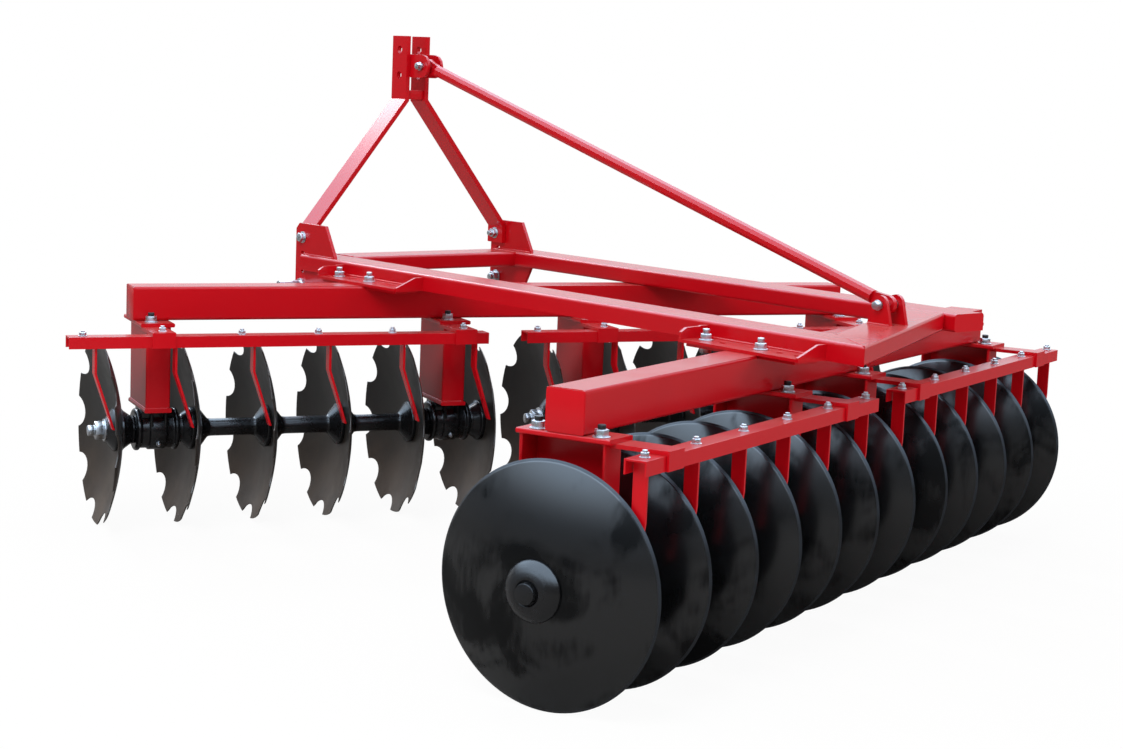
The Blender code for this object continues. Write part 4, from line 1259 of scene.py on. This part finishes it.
class HARROW_OT_fasteners(bpy.types.Operator):
    """Set the bolts of the cap plates and the scraper blades"""

    bl_idname = "harrow.fasteners"
    bl_label = "Fasteners"

    def execute(self, context):
        pitch = context.scene.harrow_discs.pitch
        bearings = (-bearing_reach(pitch), bearing_reach(pitch))
        for row, title in gangs():
            facts = FASTENERS[row]
            place = gang_frame(title)
            body = bmesh.new()
            for bearing in bearings:
                for across in (-CAP_BOLT_ACROSS, CAP_BOLT_ACROSS):
                    where = (bearing + facts["cap_bolt"], facts["flip"] * across, CAP_TOP)
                    nut = bolt(CAP_THREAD, CAP_STUD, turn=across * CAP_NUT_TWIST, dark=True)
                    append(body, nut, place @ Matrix.Translation(where))
            for number, hub in enumerate(hub_places(pitch)):
                along = hub + facts["blade_bolt"]
                across, height = BAR_BOLT_ACROSS, BAR_TOP
                if any(abs(along - bearing - facts["shelf"]) < SHELF_HALF for bearing in bearings):
                    across, height = SHELF_BOLT_ACROSS, SHELF_TOP
                where = (along, facts["flip"] * across, height)
                nut = bolt(BLADE_THREAD, BLADE_STUD, turn=number * BLADE_NUT_TWIST)
                append(body, nut, place @ Matrix.Translation(where))
            add_piece(f"{title}_bolts", body, ("zinc_plating", "dark_thread"), "frame")
        return {"FINISHED"}


# Frame bolts

# The layout's own places. Side tubes: outer face and the way that it looks
TUBE_EDGES = ((-0.320, -1), (0.603, 1))
# A gang beam's middle: its place ahead of the centre, the offset of the row's origin and how far
# out from a tube's face a bracket's bolts are
BEAM_AHEAD = 0.702
ROW_OFFSET = 0.051
BRACKET_OUT = 0.050
# Heights of the bracket's top, its ear's underside and the flat frame's top
BRACKET_TOP = 0.7183
EAR_UNDER = 0.702
FRAME_TOP = 0.7603
# Along Y from a beam's middle: both rows' front bolts, then each row's rear bolts
FRONT_BOLT = 0.160
REAR_BOLTS = {"front": 0.0, "rear": -0.035}
BRACKET_THREAD = 0.018
BRACKET_STUD = 0.013
BRACKET_NUT_TWIST = 8
NUT_TURN = 0.3
# The hitch plates: outer face from the hitch's middle, then the bolt's and the pin's Y and Z
HITCH_FACE = 0.4125
HITCH_BOLT = (1.295, 0.815)
HITCH_INSIDE = 0.0283
HITCH_THREAD = 0.018
HITCH_STUD = 0.012
LOWER_PIN = (1.300, 0.662)
LOWER_PIN_INSIDE = 0.013
LOWER_PIN_THREAD = 0.022
LOWER_PIN_STUD = 0.010
# The brace's pins: Y, Z and half their length
PINS = ((1.195, 1.378, 0.0398), (-0.838, 0.812, 0.0443))
PIN_SEAT = 0.001
PIN_THREAD = 0.0135
PIN_TURN = 0.9


def row_slope(row):
    """Slope of a row's beam against X, from its gang's joint."""
    axis = joint_of(f"{row}_left")["axis"]
    return axis[1] / axis[0]


def bracket_middle(row, edge, outward):
    """Where a gang beam's middle passes under a bracket, in the layout's frame."""
    side = 1 if row == "front" else -1
    x = edge + outward * BRACKET_OUT
    return Vector((x, side * BEAM_AHEAD + row_slope(row) * (x - side * ROW_OFFSET), 0))


def brackets():
    """Row, tube face, the way that it looks and the beam's middle, for each bracket."""
    return [
        (row, edge, outward, bracket_middle(row, edge, outward))
        for row in ROWS
        for edge, outward in TUBE_EDGES
    ]


class HARROW_OT_frame_bolts(bpy.types.Operator):
    """Set the bolts of the brackets, the hitch, the mast and the brace"""

    bl_idname = "harrow.frame_bolts"
    bl_label = "Frame bolts"

    def execute(self, context):
        body = bmesh.new()

        def add(size, stud, spot, way, turn=NUT_TURN):
            append(body, bolt(size, stud, turn=turn), stand(Vector(spot) + SHIFT, way))

        for row, _, _, middle in brackets():
            for ahead in (FRONT_BOLT, REAR_BOLTS[row]):
                spot = middle + Vector((0, ahead, BRACKET_TOP))
                add(BRACKET_THREAD, BRACKET_STUD, spot, (0, 0, 1), ahead * BRACKET_NUT_TWIST)
            under = middle + Vector((0, FRONT_BOLT, EAR_UNDER))
            add(BRACKET_THREAD, 0.0, under, (0, 0, -1))
        for way in (-1, 1):
            face = HITCH_X + way * HITCH_FACE
            inside = HITCH_X + way * (HITCH_FACE - HITCH_INSIDE)
            pin = HITCH_X + way * (HITCH_FACE - LOWER_PIN_INSIDE)
            add(HITCH_THREAD, 0.0, (face, *HITCH_BOLT), (way, 0, 0))
            add(HITCH_THREAD, HITCH_STUD, (inside, *HITCH_BOLT), (-way, 0, 0))
            add(LOWER_PIN_THREAD, LOWER_PIN_STUD, (pin, *LOWER_PIN), (-way, 0, 0))
        for y, z, reach in PINS:
            for way in (-1, 1):
                spot = (HITCH_X + way * (reach - PIN_SEAT), y, z)
                add(PIN_THREAD, 0.0, spot, (way, 0, 0), PIN_TURN)
        add_piece("frame_bolts", body, ("zinc_plating", "dark_thread"), "frame")
        return {"FINISHED"}


# Welds and plates

# A front gusset's outer cheek: out from the tube and up from the bracket, its thickness, how far
# it is ahead of the beam's middle and how deep it sits in the bracket
CHEEK = ((0, 0), (0.098, 0), (0.098, 0.019), (0.080, 0.030), (0, 0.032))
CHEEK_THICK = 0.0095
CHEEK_FRONT = 0.210
CHEEK_SUNK = 0.001
# A bracket's bead along its tube: ends from the beam's middle, out from the tube, height over it
BRACKET_BEAD = (-0.20, 0.195)
BRACKET_BEAD_OUT = 0.0015
BRACKET_BEAD_RISE = 0.001
# Two corners of the small spacer between the mast's bars
MAST_SPACER = ((0.0735, 1.262, 1.268), (0.1365, 1.270, 1.298))
# The plate that closes a gang beam's end: half its width, and its two faces along the beam
END_PLATE_HALF = 0.0485
END_PLATE_FACES = (-0.002, 0.0015)
PLATE_EASE = 0.0012
SAME_PLACE = 0.0005
# Beads round a post: its web's face from the bearing, then places across and along, heights of
# the foot's bead and of the cap's under its top
POST_WEBS = {"front": 0.050, "rear": 0.062}
POST_BACK = -0.100
POST_FRONT = 0.118
POST_FRONT_LENGTH = 0.072
POST_BACK_LENGTH = 0.070
POST_BACK_BEAD = -0.1005
FOOT_BEAD = 0.0763
CAP_BEAD_UNDER = 0.0125
POST_BEAD_SHARE = 0.8
# Beads along Y on the frame: places across, ends, height over the frame and share of the radius
HITCH_BEADS = {"across": 0.4065, "apart": 0.0062, "ends": (1.120, 1.288), "rise": 0.0005}
EAR_BEADS = {"across": 0.031, "out": 0.006, "ends": (-0.876, -0.800), "rise": 0.0005}
EAR_BEAD_SHARE = 0.9
TUBE_BEADS = {"across": (-0.1945, 0.4775), "ends": (1.170, 1.285), "rise": -0.0005}
FLUSH_BEAD_SHARE = 0.7
# The mitre at the frame's rear left corner: where it starts, the rear tube's angle and its ends
MITRE_CORNER = (-0.320, -1.138, -0.0008)
MITRE_TUBE_ANGLE = math.radians(27.5)
MITRE_ENDS = (0.004, 0.145)
# What keeps beads beside each other from having the same ripples
BACK_SEED = 3
EAR_SEED = 5
MITRE_SEED = 8


def add_cheek(body, edge, outward, middle):
    """The tall plate on the front edge of a bracket's gusset."""
    front = middle.y + CHEEK_FRONT - CHEEK_THICK
    base = BRACKET_TOP - CHEEK_SUNK
    rings = [
        [body.verts.new(Vector((edge + outward * out, y, base + rise)) + SHIFT) for out, rise in CHEEK]
        for y in (front, front + CHEEK_THICK)
    ]
    join_rings(body, rings)
    for ring in rings:
        body.faces.new(ring)


def add_end_plates(body, row):
    """The thin plates that close a gang beam's two ends."""
    beam = frame["nodes"][f"{row}_gang_beam"]
    place = gang_frame(f"{row}_left")
    inverse = place.inverted()
    corners = [inverse @ (beam.matrix_world @ vertex.co) for vertex in beam.data.vertices]
    along = [corner.x for corner in corners]
    for end in (min(along), max(along)):
        face = [corner for corner in corners if abs(corner.x - end) < SAME_PLACE]
        y = (min(corner.y for corner in face) + max(corner.y for corner in face)) / 2
        z = (min(corner.z for corner in face) + max(corner.z for corner in face)) / 2
        low = (END_PLATE_FACES[0], y - END_PLATE_HALF, z - END_PLATE_HALF)
        high = (END_PLATE_FACES[1], y + END_PLATE_HALF, z + END_PLATE_HALF)
        append(body, block(low, high, PLATE_EASE), place @ Matrix.Translation((end, 0, 0)))


def add_post_beads(body, row, title, bearing, weld):
    """Beads round a post's web, at its foot and under its cap, and across its back."""
    flip = FASTENERS[row]["flip"]
    web = POST_WEBS[row]
    radius = weld * POST_BEAD_SHARE
    place = gang_frame(title)
    loop = ((web, POST_BACK), (web, POST_FRONT), (web - POST_FRONT_LENGTH, POST_FRONT))
    back = ((web - POST_BACK_LENGTH, POST_BACK_BEAD), (web, POST_BACK_BEAD))
    for outline, height, seed in (
        (loop, FOOT_BEAD, bearing),
        (loop, CAP_TOP - CAP_BEAD_UNDER, bearing),
        (back, FOOT_BEAD, bearing + BACK_SEED),
    ):
        line = [place @ Vector((bearing + x, flip * y, height)) for x, y in outline]
        bead(body, line, radius, seed)


def add_frame_beads(body, weld):
    """Beads on the flat frame: at the hitch plates, the brace's ears, the tubes and the mitre."""

    def along(x, facts, radius, seed):
        height = FRAME_TOP + facts["rise"]
        bead(body, [Vector((x, y, height)) + SHIFT for y in facts["ends"]], radius, seed)

    for way in (-1, 1):
        plate = HITCH_X + way * HITCH_BEADS["across"]
        for side in (-HITCH_BEADS["apart"], HITCH_BEADS["apart"]):
            along(plate + side, HITCH_BEADS, weld, way)
        ear = HITCH_X + way * EAR_BEADS["across"]
        ear += way * EAR_BEADS["out"]
        along(ear, EAR_BEADS, weld * EAR_BEAD_SHARE, way + EAR_SEED)
    for x in TUBE_BEADS["across"]:
        along(x, TUBE_BEADS, weld * FLUSH_BEAD_SHARE, x)
    corner = Vector(MITRE_CORNER) + Vector((0, 0, FRAME_TOP)) + SHIFT
    turn = (math.pi / 2 + MITRE_TUBE_ANGLE) / 2
    way = Vector((math.cos(turn), math.sin(turn), 0))
    bead(body, [corner + way * end for end in MITRE_ENDS], weld * FLUSH_BEAD_SHARE, MITRE_SEED)


class HARROW_OT_welds(bpy.types.Operator):
    """Lay the weld beads, the front gusset cheeks, the beams' end plates and the mast's spacer"""

    bl_idname = "harrow.welds"
    bl_label = "Welds and cheeks"

    def execute(self, context):
        weld = context.scene.harrow_steel.weld
        reach = bearing_reach(context.scene.harrow_discs.pitch)
        cheeks = bmesh.new()
        beads = bmesh.new()
        for _, edge, outward, middle in brackets():
            add_cheek(cheeks, edge, outward, middle)
            x = edge + outward * BRACKET_BEAD_OUT
            z = BRACKET_TOP + BRACKET_BEAD_RISE
            line = [Vector((x, middle.y + end, z)) + SHIFT for end in BRACKET_BEAD]
            bead(beads, line, weld, middle.y)
        bmesh.ops.recalc_face_normals(cheeks, faces=cheeks.faces)
        low, high = (Vector(corner) + SHIFT for corner in MAST_SPACER)
        append(cheeks, block(low, high, PLATE_EASE))
        for row in ROWS:
            add_end_plates(cheeks, row)
        for row, title in gangs():
            for bearing in (-reach, reach):
                add_post_beads(beads, row, title, bearing, weld)
        add_frame_beads(beads, weld)
        bmesh.ops.recalc_face_normals(beads, faces=beads.faces)
        paint = ("harrow_red_paint",)
        add_piece("frame_cheeks", cheeks, paint, "frame")
        add_piece("weld_beads", beads, paint, "frame", sharp=BEAD_SMOOTH_ANGLE)
        return {"FINISHED"}


# Stage

FLOOR_REACH = 60.0
SENSOR_WIDTH = 36.0
CLIP_END = 200.0
# The world as gloss and metal show it: brightness from the horizon up, and towards the light
# side beyond the machine, each as (from, to, low, high)
SKY = (0.20, 0.66, 0.26, 5.0)
BEYOND = (0.2, 0.8, 0.20, 0.95)
BEYOND_WAY = (0.65, 0.76, 0.0)
WHITE = (1.0, 1.0, 1.0)
SKY_TINT = (0.74, 0.95, 1.20)
TINT_HEIGHT = 0.5
# How brightly the world lights the object, and how the camera sees it
WORLD_LIGHT = 0.62
WORLD_SHOWN = 1.0
# Place, aim, width, watts and whether reflections show it
LAMPS = {
    "key": ((-5.0, -2.5, 5.5), (0, 0, 0.4), 3.5, 260.0, False),
    "fill": ((4.5, -5.5, 3.5), (0, 0, 0.4), 4.0, 110.0, False),
    "rim": ((0.0, 6.0, 4.9), (0, 0, 0.5), 1.8, 120.0, True),
}


def add_camera(scene, sizes):
    data = bpy.data.cameras.new("photo_camera")
    data.sensor_width = SENSOR_WIDTH
    data.sensor_fit = "HORIZONTAL"
    data.lens = sizes.lens
    data.clip_end = CLIP_END
    camera = bpy.data.objects.new("photo_camera", data)
    scene.collection.objects.link(camera)
    view = Vector(sizes.view).normalized()
    right = Vector(sizes.right)
    right = (right - view * right.dot(view)).normalized()
    up = right.cross(view)
    turn = Matrix((right, up, -view)).transposed().to_4x4()
    camera.matrix_world = Matrix.Translation(Vector(sizes.place) + SHIFT) @ turn
    scene.camera = camera


def add_floor(scene):
    mesh = bpy.data.meshes.new("floor")
    sides = ((-1, -1), (1, -1), (1, 1), (-1, 1))
    corners = [(x * FLOOR_REACH, y * FLOOR_REACH, 0) for x, y in sides]
    mesh.from_pydata(corners, [], [(0, 1, 2, 3)])
    floor = bpy.data.objects.new("floor", mesh)
    scene.collection.objects.link(floor)
    mesh.materials.append(pale_floor())


def add_world(scene):
    """A plain world for the camera and the light, with a bluish sky where gloss shows it."""
    world = bpy.data.worlds.new("soft_studio")
    scene.world = world
    world.use_nodes = True
    world.cycles.sampling_method = "NONE"
    tree = world.node_tree
    back = tree.nodes["Background"]
    path = tree.nodes.new("ShaderNodeLightPath")
    place = tree.nodes.new("ShaderNodeTexCoord")
    split = tree.nodes.new("ShaderNodeSeparateXYZ")
    sky, beyond = (
        add_node(
            tree,
            "ShaderNodeMapRange",
            interpolation_type="SMOOTHSTEP",
            from_min=start,
            from_max=end,
            to_min=low,
            to_max=high,
        )
        for start, end, low, high in (SKY, BEYOND)
    )
    ahead = add_node(tree, "ShaderNodeVectorMath", operation="DOT_PRODUCT")
    ahead.inputs[1].default_value = BEYOND_WAY
    bright = add_node(tree, "ShaderNodeMath", operation="MAXIMUM")
    lit = add_node(tree, "ShaderNodeMix", data_type="FLOAT")
    lit.inputs["A"].default_value = WORLD_LIGHT
    level = add_node(tree, "ShaderNodeMix", data_type="FLOAT")
    level.inputs["B"].default_value = WORLD_SHOWN
    height = add_node(tree, "ShaderNodeMapRange", from_max=TINT_HEIGHT)
    bluish = add_node(tree, "ShaderNodeMath", operation="MULTIPLY")
    link = tree.links.new
    link(place.outputs["Generated"], split.inputs[0])
    link(place.outputs["Generated"], ahead.inputs[0])
    link(split.outputs["Z"], sky.inputs["Value"])
    link(ahead.outputs["Value"], beyond.inputs["Value"])
    link(sky.outputs["Result"], bright.inputs[0])
    link(beyond.outputs["Result"], bright.inputs[1])
    link(path.outputs["Is Glossy Ray"], lit.inputs["Factor"])
    link(bright.outputs[0], lit.inputs["B"])
    link(path.outputs["Is Camera Ray"], level.inputs["Factor"])
    link(lit.outputs["Result"], level.inputs["A"])
    link(level.outputs["Result"], back.inputs["Strength"])
    link(split.outputs["Z"], height.inputs["Value"])
    link(height.outputs["Result"], bluish.inputs[0])
    link(path.outputs["Is Glossy Ray"], bluish.inputs[1])
    tint = mix_color(tree, bluish.outputs[0], WHITE, SKY_TINT)
    link(tint, back.inputs["Color"])


def add_lamps(scene):
    for name, (spot, aim, width, watts, mirrored) in LAMPS.items():
        lamp = bpy.data.lights.new(name, "AREA")
        lamp.shape = "DISK"
        lamp.size = width
        lamp.energy = watts
        item = bpy.data.objects.new(name, lamp)
        scene.collection.objects.link(item)
        item.location = spot
        item.rotation_euler = (Vector(aim) - Vector(spot)).to_track_quat("-Z", "Y").to_euler()
        item.visible_glossy = mirrored


class HARROW_OT_stage(bpy.types.Operator):
    """Place the floor, the world, the lamps and the camera"""

    bl_idname = "harrow.stage"
    bl_label = "Stage"

    def execute(self, context):
        scene = context.scene
        scene.view_settings.view_transform = "Standard"
        add_camera(scene, scene.harrow_stage)
        add_floor(scene)
        add_world(scene)
        add_lamps(scene)
        return {"FINISHED"}


class HARROW_PT_panel(bpy.types.Panel):
    """Builds the harrow's pieces one by one"""

    bl_idname = "HARROW_PT_panel"
    bl_label = "Disc Harrow"
    bl_space_type = "VIEW_3D"
    bl_region_type = "UI"
    bl_category = "Harrow"

    def draw(self, context):
        for operator in OPERATORS:
            self.layout.operator(operator.bl_idname)


OPERATORS = (
    HARROW_OT_stage,
    HARROW_OT_discs,
    HARROW_OT_spools,
    HARROW_OT_bearings,
    HARROW_OT_steelwork,
    HARROW_OT_fasteners,
    HARROW_OT_frame_bolts,
    HARROW_OT_welds,
)
GROUPS = {
    "harrow_discs": DiscSizes,
    "harrow_castings": CastingSizes,
    "harrow_steel": SteelSizes,
    "harrow_finishes": Finishes,
    "harrow_stage": StageSizes,
}


def register():
    for item in (*GROUPS.values(), *OPERATORS, HARROW_PT_panel):
        bpy.utils.register_class(item)
    for name, group in GROUPS.items():
        setattr(bpy.types.Scene, name, bpy.props.PointerProperty(type=group))


def unregister():
    for name in GROUPS:
        delattr(bpy.types.Scene, name)
    for item in (HARROW_PT_panel, *reversed(OPERATORS), *reversed(tuple(GROUPS.values()))):
        bpy.utils.unregister_class(item)


def main():
    register()
    for operator in OPERATORS:
        group, name = operator.bl_idname.split(".")
        getattr(getattr(bpy.ops, group), name)()


if __name__ == "__main__":
    main()
